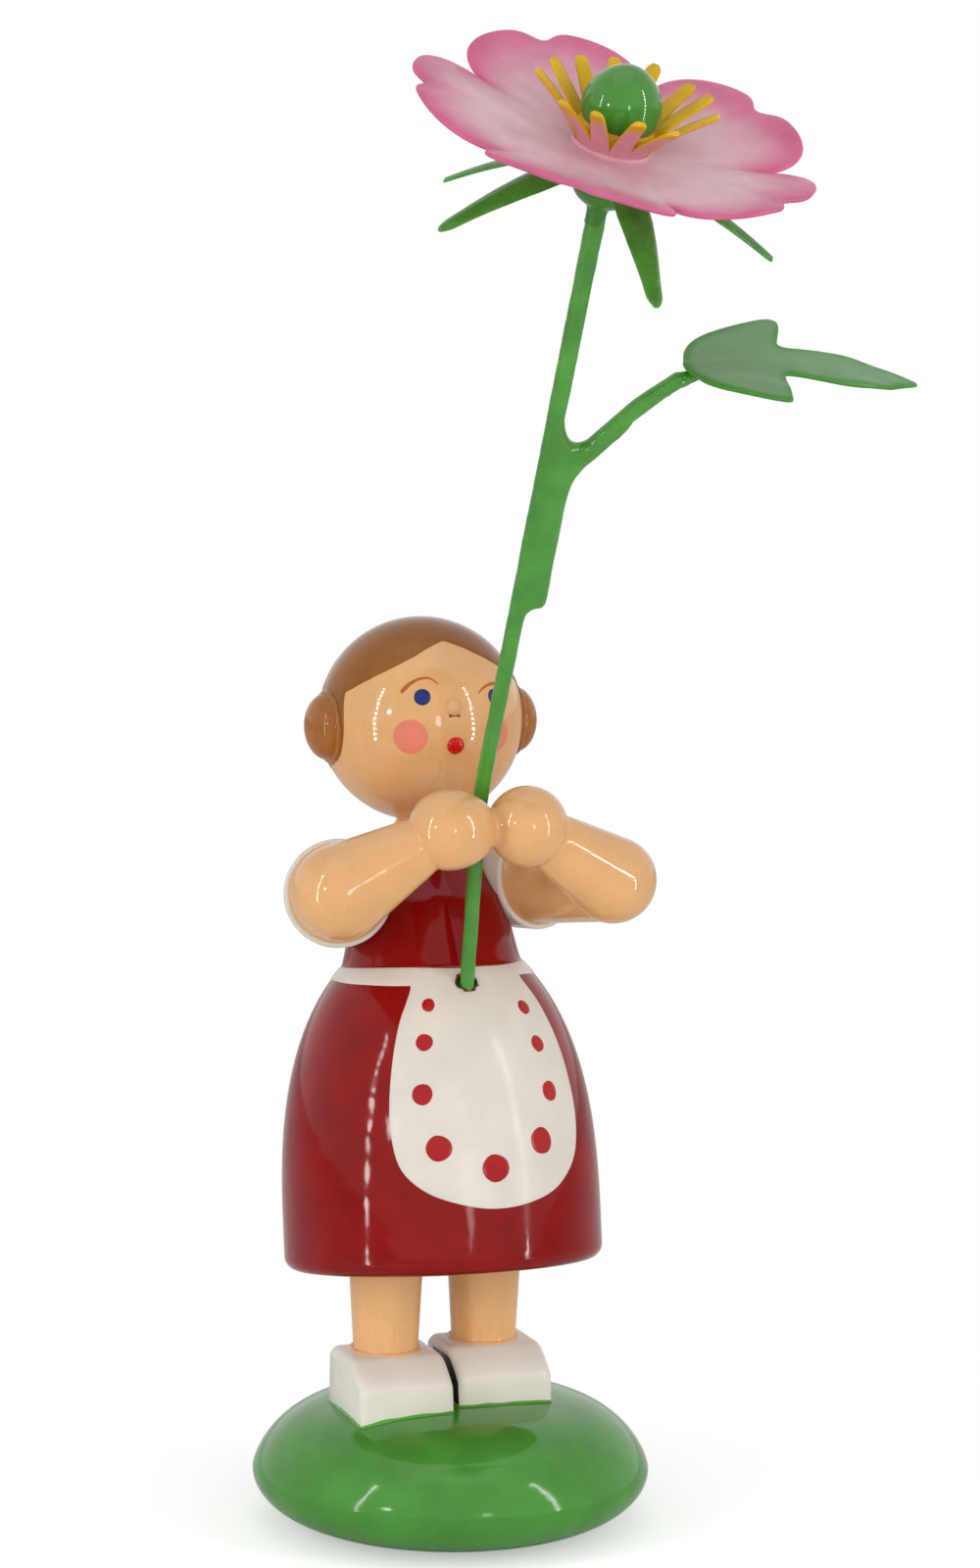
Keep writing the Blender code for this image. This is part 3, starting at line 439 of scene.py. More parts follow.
def tube(path, radii, sides=24, lumps=0.0, seed=0):
    """A round tube along a path, with domed ends and slow lumps of lacquer."""
    path = [Vector(p) for p in path]
    bm = bmesh.new()
    rings = []
    tangent = (path[1] - path[0]).normalized()
    normal = tangent.orthogonal().normalized()
    for index, point in enumerate(path):
        ahead = (path[min(index + 1, len(path) - 1)] - path[max(index - 1, 0)]).normalized()
        normal = (tangent.rotation_difference(ahead) @ normal).normalized()
        tangent = ahead
        other = tangent.cross(normal)
        ring = []
        for k in range(sides):
            out = normal * cos(tau * k / sides) + other * sin(tau * k / sides)
            spot = (point + out * 0.6) * 0.55 + Vector((seed, 0, 0))
            swell = 1.0 + lumps * noise.noise(spot) + lumps * 0.45 * noise.noise(spot * 3.1)
            ring.append(bm.verts.new(point + out * radii[index] * swell))
        rings.append(ring)
    for low, high in zip(rings, rings[1:]):
        bridge(bm, low, high)
    for last, point, inner, radius in ((rings[0], path[0], path[1], radii[0]),
                                       (rings[-1], path[-1], path[-2], radii[-1])):
        way = (point - inner).normalized() * radius
        for share, rise in TUBE_END:
            cap = [bm.verts.new(point + (v.co - point) * share + way * rise) for v in last]
            bridge(bm, last, cap)
            last = cap
        tip = bm.verts.new(sum((v.co for v in last), Vector()) / sides + way * 0.1)
        bridge(bm, last, [tip])
    return bm


def inside(points, loop):
    """Which 2-D points lie inside a closed loop."""
    x, y = points[:, 0], points[:, 1]
    result = np.zeros(len(points), bool)
    for (x0, y0), (x1, y1) in zip(loop, np.roll(loop, -1, axis=0)):
        crosses = (y0 > y) != (y1 > y)
        with np.errstate(divide="ignore", invalid="ignore"):
            at = (x1 - x0) * (y - y0) / (y1 - y0) + x0
        result ^= crosses & (x < at)
    return result


def edge_distance(points, loop):
    """Distance of 2-D points from a closed loop."""
    best = np.full(len(points), np.inf)
    for start, end in zip(loop, np.roll(loop, -1, axis=0)):
        way = end - start
        share = np.clip(((points - start) @ way) / max(way @ way, 1e-12), 0, 1)
        best = np.minimum(best, np.hypot(*(points - start - share[:, None] * way).T))
    return best


def resample(loop, step):
    """A closed loop with even spacing."""
    loop = np.array([tuple(p)[:2] for p in loop], float)
    closed = np.vstack([loop, loop[:1]])
    lengths = np.hypot(*np.diff(closed, axis=0).T)
    along = np.concatenate([[0], np.cumsum(lengths)])
    count = max(int(along[-1] / step), 8)
    spots = np.linspace(0, along[-1], count, endpoint=False)
    return np.stack([np.interp(spots, along, closed[:, axis]) for axis in (0, 1)], 1)


def inset(loop, distance):
    """The loop moved inwards by a small distance."""
    ahead = np.roll(loop, -1, axis=0) - np.roll(loop, 1, axis=0)
    normal = np.stack([-ahead[:, 1], ahead[:, 0]], 1)
    normal /= np.maximum(np.hypot(*normal.T)[:, None], 1e-9)
    area = 0.5 * np.sum(loop[:, 0] * np.roll(loop[:, 1], -1) - np.roll(loop[:, 0], -1) * loop[:, 1])
    return loop + normal * distance * (1 if area > 0 else -1)


def fill(loop, spacing, rim, holes=()):
    """Triangles inside a loop: returns 2-D points, triangles and each point's edge distance."""
    sets = [loop]
    for depth in rim:
        ring = inset(loop, depth)
        sets.append(ring[inside(ring, loop) & (edge_distance(ring, loop) > depth * 0.8)])
    low, high = loop.min(0), loop.max(0)
    rows = enumerate(np.arange(low[1], high[1], spacing * 0.866))
    grid = np.array([(x, y) for row, y in rows
                     for x in np.arange(low[0] + spacing / 2 * (row % 2), high[0], spacing)])
    deep = edge_distance(grid, loop) > rim[-1] + spacing * 0.45
    sets.append(grid[inside(grid, loop) & deep])
    faces = [list(range(len(loop)))]
    for hole in holes:
        start = sum(len(part) for part in sets)
        sets.append(hole)
        faces.append(list(range(start, start + len(hole))))
    made = delaunay_2d_cdt([Vector(p) for p in np.vstack(sets)], [], faces, 1, 1e-6)
    points = np.array([tuple(p) for p in made[0]])
    triangles = [tuple(face) for face in made[2]]
    for hole in holes:
        middles = np.array([points[list(t)].mean(0) for t in triangles])
        triangles = [t for t, gone in zip(triangles, inside(middles, hole)) if not gone]
    return points, triangles, edge_distance(points, loop)


def rounded_edge(depth, reach):
    """Height of a rounded edge, from 0 to 1, at a distance from the edge."""
    return np.sqrt(1 - (1 - np.clip(depth / reach, 0, 1)) ** 2)


def film(name, loop, surface, thickness, material, spacing=0.5, holes=(), lift=0.0, round_off=0.12,
         slot="body", dome=0.0, edge=0.0):
    """A thin coat of paint on a surface, with a soft raised edge.

    surface maps 2-D points to places and normals. dome raises the middle, and edge is the
    depth over which the edge attribute fades from 1 to 0.
    """
    loop = np.asarray(loop, float)
    points, triangles, depth = fill(loop, spacing, (round_off * 0.4, round_off), holes)
    open_depth = depth
    for hole in holes:
        open_depth = np.minimum(open_depth, edge_distance(points, hole))
    heights = lift - 0.03 + (thickness + 0.03) * rounded_edge(open_depth, round_off)
    heights += dome * rounded_edge(depth, depth.max())
    bm = bmesh.new()
    layer = bm.verts.layers.float.new("edge")
    for point, height, away in zip(points, heights, depth):
        place, normal = surface(*point)
        vert = bm.verts.new(place + normal * height)
        vert[layer] = 1.0 - min(away / edge, 1.0) if edge else 0.0
    bm.verts.ensure_lookup_table()
    for triangle in triangles:
        bm.faces.new([bm.verts[k] for k in triangle])
    bmesh.ops.delete(bm, geom=[v for v in bm.verts if not v.link_faces], context="VERTS")
    piece = make_piece(name, bm, FIGURE, [material], slot=slot, sharp=180)
    place, normal = surface(*points[len(points) // 2])
    face_outward(piece, MM @ FIGURE @ place, FIGURE.to_3x3() @ normal)


def face_outward(piece, spot, outward):
    """Make an open film face away from its surface."""
    nearest = min(piece.data.polygons, key=lambda face: (face.center - spot).length)
    if nearest.normal.dot(outward) < 0:
        piece.data.flip_normals()


def sheet(name, loop, height, thickness, materials, placing, node=None, slot=None, spacing=0.5,
          edge=None, round_off=0.2, rims=(0.35, 1.0), lumps=0.0):
    """A closed sheet with rounded edges: the first material is on top."""
    loop = np.asarray(loop, float)
    points, triangles, depth = fill(loop, spacing, [round_off * rim for rim in rims])
    half = thickness / 2 * rounded_edge(depth, round_off)
    half *= [1 + lumps * noise.noise((x * 0.9, y * 0.9, 4.0)) for x, y in points]
    bm = bmesh.new()
    layer = bm.verts.layers.float.new("edge")
    sides = []
    for sign in (1, -1):
        verts = []
        for index, (point, away) in enumerate(zip(points, half)):
            if sign < 0 and away < 1e-6:
                verts.append(sides[0][index])
                continue
            vert = bm.verts.new((point[0], point[1], height(*point) + sign * away))
            vert[layer] = edge(*point) if edge else 1.0 - min(depth[index] / 2.0, 1.0)
            verts.append(vert)
        sides.append(verts)
    for sign, verts in enumerate(sides):
        for triangle in triangles:
            corners = [verts[k] for k in triangle]
            face = bm.faces.new(corners[::-1] if sign else corners)
            face.material_index = sign
    return make_piece(name, bm, placing, materials, node=node, slot=slot, sharp=70)


# Surfaces of the figure

def body_radius(height):
    """Radius of the dress: a bell-shaped skirt, and a bodice that narrows a little."""
    if height > SKIRT_HEIGHT:
        share = (height - SKIRT_HEIGHT) / (COLLAR_TOP - SHOULDER_DROP - SKIRT_HEIGHT)
        return WAIST + (CHEST - WAIST) * share
    share = 1.0 - (WAIST / HEM_RADIUS) ** 2
    reach = (SKIRT_HEIGHT - HEM_STRAIGHT) / share ** (1.0 / FULLNESS)
    climb = max(height - HEM_STRAIGHT, 0.0) / reach
    return HEM_RADIUS * sqrt(1.0 - climb ** FULLNESS)


PAINT_SCALE = 10.0


def skirt_surface(across, height):
    """Point and normal on the dress; across is the angle times the paint scale."""
    angle = across / PAINT_SCALE
    radius = body_radius(height)
    slope = (body_radius(height + 0.05) - body_radius(height - 0.05)) / 0.1
    out = Vector((sin(angle), -cos(angle), 0.0))
    normal = (out - Vector((0, 0, slope))).normalized()
    return out * radius + Vector((0, 0, height)), normal


def on_skirt(turn, height):
    return radians(turn) * PAINT_SCALE, height


def blot(radius, wobble, phases=(1.0, 0.0), stretch=1.0, centre=(0.0, 0.0), count=64):
    """Outline of a dab of paint that isn't quite round."""
    return [(centre[0] + stretch * radius * cos(a) * (1 + wobble * sin(2 * a + phases[0])),
             centre[1] + radius * sin(a) * (1 + wobble * sin(3 * a + phases[1])))
            for a in np.linspace(0, tau, count, endpoint=False)]


def head_direction(azimuth, elevation):
    a, e = radians(azimuth), radians(elevation)
    return Vector((sin(a) * cos(e), -cos(a) * cos(e), sin(e)))


def head_surface(centre):
    """A map from a flat paint plane to the head, centred on a direction."""
    pole = Vector((0, 0, 1)) if abs(centre.z) < 0.9 else Vector((0, 1, 0))
    east = pole.cross(centre).normalized()
    north = centre.cross(east)

    def surface(u, v):
        reach = hypot(u, v)
        angle = reach / HEAD_R
        way = (east * u + north * v) / max(reach, 1e-9)
        normal = centre * cos(angle) + way * sin(angle)
        return normal * HEAD_R + Vector((0, 0, HEAD_UP)), normal

    def flat(azimuth, elevation):
        direction = head_direction(azimuth, elevation)
        angle = acos(max(-1.0, min(1.0, direction.dot(centre))))
        way = Vector((direction.dot(east), direction.dot(north)))
        return tuple(way.normalized() * angle * HEAD_R) if way.length > 1e-9 else (0.0, 0.0)

    return surface, flat


# Base, shoes and legs

def dome_profile():
    lower = arc((BASE_FOOT, BASE_RIM), (BASE_RADIUS - BASE_FOOT, BASE_RIM), -90, 0, 24)
    turns = [pi / 2 * k / 60 for k in range(1, 60)]
    dome = [(BASE_RADIUS * cos(a) ** (2.0 / DOME_SIDE),
             BASE_RIM + (BASE_HEIGHT - BASE_RIM) * sin(a) ** (2.0 / DOME_TOP)) for a in turns]
    return [(0.0, 0.0), (BASE_FOOT * 0.6, 0.0)] + lower + dome + [(0.0, BASE_HEIGHT)]


def dome_height(radius):
    """Height of the base's top at a distance from its axis."""
    angle = acos(min(radius / BASE_RADIUS, 1.0) ** (DOME_SIDE / 2.0))
    return BASE_RIM + (BASE_HEIGHT - BASE_RIM) * sin(angle) ** (2.0 / DOME_TOP)


def leg_place(side):
    return Vector((STANCE[0] + side * LEG_SPACING / 2, STANCE[1] + side * STRIDE / 2, 0.0))


def build_base():
    make_piece("base_turning", lathe(dome_profile(), 160), WORLD, [GREEN], node="base", sharp=50)


def shoe_outline():
    """Side view of a shoe, heel first: (y, z) points round a closed loop."""
    heel = arc((SHOE_BACK - 0.8, SHOE_TOP - 0.8), (0.8, 0.8), 0, 90, 7)
    toe = [(-2.35, 0), (-2.9, 0.13), (-3.6, 0.56), (-4.3, 1.08), (-4.82, 1.58), (-5.08, 1.98),
           (SHOE_FRONT, 2.5)]
    slope = smooth_line([(y, SHOE_TOP - drop) for y, drop in toe], 4)
    return ([(SHOE_BACK, SHOE_SOLE)] + heel + [(0.6, SHOE_TOP)] + [tuple(p)[:2] for p in slope]
            + [(SHOE_FRONT, SHOE_SOLE)])


def build_shoe(word, side):
    """A white block with rounded sides, set into the base."""
    loop = np.array(shoe_outline())
    half = SHOE_WIDTH / 2
    corner = [(-half + SHOE_ROUNDING * (1 - cos(pi / 2 * k / 6)),
               SHOE_ROUNDING * (1 - sin(pi / 2 * k / 6))) for k in range(7)]
    flat = np.linspace(-half + SHOE_ROUNDING, half - SHOE_ROUNDING, 10)[1:-1]
    stations = corner + [(x, 0.0) for x in flat] + [(-x, depth) for x, depth in corner[::-1]]
    bm = bmesh.new()
    rings = []
    for x, depth in stations:
        ring = loop + (inset(loop, depth) - loop) * (0.5, 1.0)
        rings.append([bm.verts.new((x, y, z)) for y, z in ring])
    for first, second in zip(rings, rings[1:]):
        bridge(bm, first, second)
    inner = bm.faces.new(rings[0])
    bm.faces.new(rings[-1])
    # The left shoe's inner side gets the painted shade of the gap between the shoes
    inner.material_index = 1 if side > 0 else 0
    place = leg_place(side)
    make_piece("shoe_%s_block" % word, bm, Matrix.Translation(place), [LIT_SHOE_WHITE, SHOE_GAP_SHADE],
               node="shoe_" + word, sharp=50)
    sole = []
    for x, y in rounded_rectangle(-half, half, SHOE_FRONT, SHOE_BACK, 0.45):
        spot = place + Vector((x, y, 0))
        sole.append(Vector((spot.x, spot.y, dome_height(hypot(spot.x, spot.y)) + 0.02)))
    bead("shoe_%s_sole_bead" % word, sole, 0.15, SEAM_GREEN, "base", lumps=0.6)


def rounded_rectangle(x0, x1, y0, y1, radius):
    points = []
    for cx, cy, start in ((x1 - radius, y1 - radius, 0), (x0 + radius, y1 - radius, 90),
                          (x0 + radius, y0 + radius, 180), (x1 - radius, y0 + radius, 270)):
        points += arc((cx, cy), (radius, radius), start, start + 90, 5)
    return [tuple(p) for p in resample(points, 0.35)]


def bead(name, loop, radius, material, slot, placing=WORLD, lumps=0.25):
    """A closed bead of lacquer that fills the corner where two pieces meet."""
    bm = bmesh.new()
    rings = []
    for index, point in enumerate(loop):
        ahead = (loop[(index + 1) % len(loop)] - loop[index - 1]).normalized()
        across = ahead.cross(Vector((0, 0, 1)))
        across = across.normalized() if across.length > 1e-6 else ahead.orthogonal().normalized()
        above = across.cross(ahead)
        swell = radius * (1 + lumps * noise.noise(point * 0.9))
        turns = [tau * k / 10 for k in range(10)]
        rings.append([bm.verts.new(point + (across * cos(a) + above * sin(a)) * swell)
                      for a in turns])
    for first, second in zip(rings, rings[1:] + rings[:1]):
        bridge(bm, first, second)
    make_piece(name, bm, placing, [material], slot=slot, sharp=180)


def build_leg(word, side):
    """A tapered leg with a soft foot where lacquer has run against the shoe."""
    top = LEG_FOOT + LEG_LENGTH
    foot = SHOE_TOP - 0.1
    profile = [(0.0, foot)]
    profile += [(ANKLE + 0.24 * (1 - s) ** 2, foot + 0.42 * s) for s in np.linspace(0, 1, 7)]
    profile += [(ANKLE + LEG_FLARE * (z - LEG_FOOT) / LEG_LENGTH, z)
                for z in np.linspace(LEG_FOOT + 0.4, top, 9)]
    place = Matrix.Translation(leg_place(side))
    make_piece("leg_%s_turning" % word, lathe(profile + [(0.0, top)], 72), place, [LIT_LEG_SKIN],
               node="leg_" + word)
    bead("leg_%s_foot_bead" % word, circle(2.62, SHOE_TOP + 0.02, 72), 0.12, LIT_LEG_SKIN,
         "leg_" + word, place, 0.5)


# Body and its painted apron

APRON = [(-30.6, 21.1), (-32.2, 20.0), (-34.6, 18.6), (-36.4, 16.2), (-37.3, 12.9), (-36.5, 10.3),
         (-33.0, 7.9), (-24.2, 6.2), (-12.0, 5.2), (0.3, 4.75), (14.0, 5.0), (27.7, 6.0),
         (38.5, 8.1), (42.9, 10.9), (43.5, 14.0), (43.0, 17.1), (41.2, 19.6), (38.6, 21.3)]
BAND_LEFT = [(-180, 21.45), (-150, 21.5), (-120, 21.52), (-96, 21.58), (-75, 21.42), (-57, 21.3),
             (-42, 21.2), (-33, 21.17)]
BAND_RIGHT = [(41.5, 21.5), (59, 21.46), (80, 21.5), (110, 21.52), (140, 21.48), (180, 21.45)]
BAND_TOP = [(180, 22.5), (140, 22.5), (100, 22.48), (57, 22.46), (28, 22.36), (13, 22.38),
            (-4, 22.34), (-22, 22.46), (-38, 22.54), (-69, 22.56), (-110, 22.52), (-180, 22.5)]
DOTS = [(-21.3, 19.74, 0.5), (-23.3, 17.08, 0.64), (-24.5, 13.34, 0.79), (-19.1, 9.39, 0.97),
        (1.15, 7.73, 1.04), (20.8, 9.45, 1.0), (28.5, 13.0, 0.76), (28.3, 16.48, 0.63),
        (27.9, 19.17, 0.54)]


def body_profile():
    hem = arc((HEM_RADIUS - 1.0, 1.0), (1.0, 1.0), -90, 0, 14)
    straight = [(HEM_RADIUS, height) for height in (1.5, 2.0, 2.5)]
    rise = SKIRT_HEIGHT - HEM_STRAIGHT
    heights = [HEM_STRAIGHT + rise * k / 72 for k in range(72)]
    skirt = [(body_radius(height), height) for height in heights]
    waist = [(WAIST + 0.05, SKIRT_HEIGHT - 0.04), (WAIST, SKIRT_HEIGHT + 0.08)]
    chest = COLLAR_TOP - SHOULDER_DROP
    bodice = [(body_radius(h), h) for h in np.linspace(SKIRT_HEIGHT + 0.6, chest - 0.3, 8)]
    power = SHOULDER_POWER
    dome = SHOULDER_DROP / (1 - (COLLAR / CHEST) ** power) ** (1 / power)
    shoulders = [(CHEST * (1 - (climb / dome) ** power) ** (1 / power), chest + climb)
                 for climb in np.linspace(0, SHOULDER_DROP, 24)]
    return ([(0.0, 0.0), (8.0, 0.0)] + hem + straight + skirt + waist + bodice + shoulders
            + [(0.0, COLLAR_TOP)])


MOUTH_UP = 21.27
MOUTH_HALF = (0.78, 0.67)
PAINT_BACK = 0.04


def mouth_frame():
    """The drilled hole's mouth: Z square to the dress, Y up along it."""
    place, normal = skirt_surface(0.0, MOUTH_UP)
    east = Vector((1, 0, 0))
    turn = Matrix((east, normal.cross(east), normal)).transposed()
    return Matrix.Translation(place) @ turn.to_4x4()


def mouth_solid(low, high, grow=0.0):
    size = Matrix.Diagonal((MOUTH_HALF[0] + grow, MOUTH_HALF[1] + grow, 1.0, 1.0))
    solid = lathe([(0, low), (1, low), (1, high), (0, high)], 48)
    solid.transform(mouth_frame() @ size)
    return solid


def build_body():
    """The dress and its neck in one turning, with the stem's hole drilled into it."""
    bm = lathe(body_profile(), 200)
    for face in bm.faces:
        if face.calc_center_median().z > NECK_PAINT:
            face.material_index = 2
    materials = [RED, HOLE_SHADE_GREEN, SKIN]
    body = make_piece("dress_turning", bm, FIGURE, materials, node="body", sharp=50)
    cutter = mouth_solid(-1.3, 2.0)
    # The hole's walls take the dark green of painted shade
    for face in cutter.faces:
        face.material_index = 1
    tool = add_object("stem_drill", make_mesh("stem_drill", cutter, FIGURE, materials))
    modifier = body.modifiers.new("drill", "BOOLEAN")
    modifier.operation = "DIFFERENCE"
    modifier.object = tool
    bpy.context.view_layer.update()
    drilled = body.evaluated_get(bpy.context.evaluated_depsgraph_get())
    mesh = bpy.data.meshes.new_from_object(drilled)
    body.modifiers.remove(modifier)
    body.data = mesh
    bpy.data.objects.remove(tool)


def build_apron():
    lower = [on_skirt(*p) for p in BAND_LEFT + APRON + BAND_RIGHT]
    line = smooth_line(lower, 10) + smooth_line([on_skirt(*p) for p in BAND_TOP], 10)
    loop = resample(line, 0.22)
    steep = mouth_frame().to_3x3().col[1].z
    half, rise = MOUTH_HALF[0] + PAINT_BACK, (MOUTH_HALF[1] + PAINT_BACK) * steep
    hole = np.array([on_skirt(degrees(half * cos(a) / body_radius(MOUTH_UP)),
                              MOUTH_UP + rise * sin(a))
                     for a in np.linspace(0, tau, 28, endpoint=False)])
    film("apron_paint", loop, skirt_surface, 0.06, WHITE, holes=[hole], round_off=0.14)
    for index, (turn, height, radius) in enumerate(DOTS):
        phase = random.Random(index).uniform(0, 6)
        stretch = PAINT_SCALE / body_radius(height)
        loop = blot(radius, 0.03, (phase, phase), stretch, on_skirt(turn, height), 56)
        film("dot_paint_%d" % (index + 1), loop, skirt_surface, 0.04, DOT_RED, 0.22, lift=0.06,
             round_off=0.1)


def build_stem_rim():
    """Painted shade in the drilled hole: a thin dark green bead round its mouth and a dark plug
    inside it.
    """
    stretch = Matrix.Diagonal((*MOUTH_HALF, 1.0, 1.0))
    ring = [mouth_frame() @ stretch @ point for point in circle(1.0, 0.0, 40)]
    bead("stem_hole_shade_rim", ring, 0.06, HOLE_SHADE_GREEN, "stem", FIGURE, 0.4)
    make_piece("stem_hole_shade_fill", mouth_solid(-1.28, -0.28, -0.01), FIGURE, [HOLE_SHADE_GREEN],
               slot="stem")


# Head

def build_head():
    make_piece("head_turning", lathe(ball(HEAD_R, HEAD_R, 96), 160), FIGURE @ raised(HEAD_UP),
               [SKIN], node="head", sharp=180)
    ahead = head_direction(0.0, NOSE_LIFT)
    spot = FIGURE @ aim(Vector((0, 0, HEAD_UP)) + ahead * (HEAD_R - NOSE_DEPTH), ahead)
    make_piece("nose_bead", lathe(ball(NOSE_R, NOSE_R, 20), 40), spot, [SKIN], node="nose",
               sharp=180)
    bead("nose_seat_bead", circle(0.56, 0.24, 32), 0.08, SKIN, "nose", spot, 0.2)


def paint_on_head(name, direction, radius, thickness, material, spacing, wobble=0.0, **coat):
    surface, _flat = head_surface(head_direction(*direction))
    film(name, blot(radius, wobble), surface, thickness, material, spacing, round_off=0.1,
         slot="head", **coat)


def stroke(name, points, widths, material):
    """A brush stroke on the face through azimuth and elevation points."""
    surface, flat = head_surface(head_direction(*points[len(points) // 2]))
    line = smooth_line([flat(*p) for p in points], 8)
    shares = np.linspace(0, len(widths) - 1, len(line))
    half = np.interp(shares, range(len(widths)), widths)
    left, right = [], []
    for index, point in enumerate(line):
        ahead = (line[min(index + 1, len(line) - 1)] - line[max(index - 1, 0)]).normalized()
        aside = Vector((-ahead.y, ahead.x, 0)) * half[index]
        left.append(point + aside)
        right.append(point - aside)
    film(name, resample(left + right[::-1], 0.07), surface, 0.02, material, 0.12, slot="head",
         round_off=0.05)


def build_face():
    for word, direction in (("right", (-17.7, 11.7)), ("left", (28.0, 10.2))):
        paint_on_head("eye_%s_rim" % word, direction, 0.65, 0.02, EYE_RIM, 0.16)
        paint_on_head("eye_%s_paint" % word, direction, 0.53, 0.02, BLUE, 0.14, lift=0.02)
    for word, direction in (("right", (-25.3, -10.0)), ("left", (29.0, -11.5))):
        paint_on_head("cheek_%s_paint" % word, direction, 1.33, 0.012, CHEEK, 0.22, 0.015,
                      edge=0.35)
    # A dark arch under the nose bead: painted shadow
    stroke("nose_painted_shadow", [(-3.2, -0.2), (-2.2, 0.8), (-0.6, 1.3), (0.9, 1.3), (2.4, 0.7),
                        (3.4, -0.2)], [0.06, 0.14, 0.18, 0.17, 0.14, 0.06], NOSE_SHADOW_BROWN)
    paint_on_head("mouth_paint", (0.8, -16.1), 0.66, 0.05, MOUTH_RED, 0.12, 0.02, dome=0.24)
    stroke("brow_right_paint", [(-29.8, 14.6), (-27.4, 17.2), (-24.4, 19.7), (-18.8, 22.3),
                                (-12.9, 22.4), (-7.8, 18.8)],
           [0.15, 0.18, 0.16, 0.12, 0.085, 0.06], BROW)
    stroke("brow_left_paint", [(16.4, 12.2), (19.0, 14.6), (24.0, 17.0), (29.5, 18.0),
                               (35.0, 17.2), (40.0, 14.0)],
           [0.06, 0.09, 0.12, 0.15, 0.17, 0.14], BROW)


PARTING = 2.2
# The hair's edge on the right, as azimuth and elevation; the left side mirrors it
HAIRLINE = [(2.2, 47.7), (-4.0, 45.4), (-12.0, 41.8), (-23.5, 35.6), (-36.2, 29.4), (-48.5, 24.0),
            (-60.0, 19.0), (-67.0, 16.4)]
SIDE = [(-67.6, 15.6), (-67.4, 9.0), (-67.2, 1.0), (-68.0, -6.0), (-71.0, -13.0), (-76.0, -18.6),
        (-84.0, -22.5), (-95.0, -25.0), (-112.0, -27.0), (-135.0, -29.0), (-160.0, -30.0),
        (-180.0, -30.3)]


def build_hair():
    """The painted hair: a parting in front, sides down to the buns and a round nape."""
    surface, flat = head_surface(Vector((0, 0, 1)))

    def line(points):
        return smooth_line([flat(*p) for p in points], 8)

    def mirrored(points):
        return [(2 * PARTING - azimuth, elevation) for azimuth, elevation in points[::-1]]

    edge = line(HAIRLINE) + line(SIDE) + line(mirrored(SIDE))[1:] + line(mirrored(HAIRLINE))[:-1]
    film("hair_paint", resample(edge, 0.24), surface, 0.06, BROWN, spacing=0.55, slot="bun_right")


def build_bun(word, side):
    place = FIGURE @ aim(Vector((side * BUN_OUT, 0, HEAD_UP - BUN_DROP)), Vector((side, 0, 0)))
    make_piece("bun_%s_turning" % word, lathe(ball(BUN_R, BUN_THICKNESS / 2, 48), 96), place,
               [BUN_BROWN], node="bun_" + word, sharp=180)
    ring = []
    for spot in circle(BUN_R, 0.0, 56):
        across, above = spot.x, spot.y - BUN_DROP
        depth = sqrt(HEAD_R ** 2 - across ** 2 - above ** 2)
        ring.append(Vector((side * (depth + 0.05), across, HEAD_UP + above)))
    bead("bun_%s_seat_bead" % word, ring, 0.28, BUN_BROWN, "bun_" + word, FIGURE, 0.2)


# Arms

def elbow_place(side):
    drop = LEFT_ELBOW_DROP if side > 0 else 0.0
    return Vector((side * ELBOW.x, ELBOW.y, ELBOW.z - drop))


def elbow_radius(side):
    return ELBOW_R if side < 0 else ELBOW_R - LEFT_ELBOW_THINNER


def hand_place(side):
    return Vector((side * HAND.x, HAND.y, HAND.z))


def shoulder_place(side):
    height = SHOULDER_UP + (LEFT_SHOULDER_RISE if side > 0 else 0.0)
    out = body_radius(height) + SLEEVE_R - SLEEVE_INSET
    return Vector((side * out, SHOULDER_BACK, height))


# How far the right hand's ball is drawn out towards the left one, as a share
HAND_STRETCH = 0.22
# The smooth elbow is this much smaller, so that it stays inside the faceted one's box
ROUNDER = 0.015


def build_forearm(word, side):
    """A cone with a ball hand; the right hand bulges towards the left one."""
    hand, elbow = hand_place(side), elbow_place(side)
    length = (elbow - hand).length
    end_radius = elbow_radius(side) - ROUNDER
    cone = degrees(asin((end_radius - WRIST_R) / length))
    wrist_angle = degrees(acos(WRIST_R / HAND_R)) - 3.0
    hand_ball = arc((0.0, 0.0), (HAND_R, HAND_R), -90, wrist_angle, 44)
    end = arc((0.0, length), (end_radius, end_radius), -cone, 90, 40)
    start, finish = Vector(hand_ball[-1]), Vector(end[0])
    crease = start + (finish - start) * 0.04 + Vector((-0.03, 0))
    middle = [tuple(start + (finish - start) * s) for s in np.linspace(0.12, 0.95, 12)]
    profile = ([(0.0, -HAND_R)] + hand_ball[1:] + [tuple(crease)] + middle + end[:-1]
               + [(0.0, length + end_radius)])
    bm = lathe(profile, 96)
    place = aim(hand, elbow - hand)
    if side < 0:
        across = place.to_3x3().inverted() @ Vector((1, 0, 0))
        for vert in bm.verts:
            reach = vert.co.dot(across)
            if reach > 0 and vert.co.length < HAND_R + 0.01:
                vert.co += across * reach * HAND_STRETCH
    make_piece("forearm_%s_turning" % word, bm, FIGURE @ place, [SKIN],
               node="forearm_" + word, sharp=60)


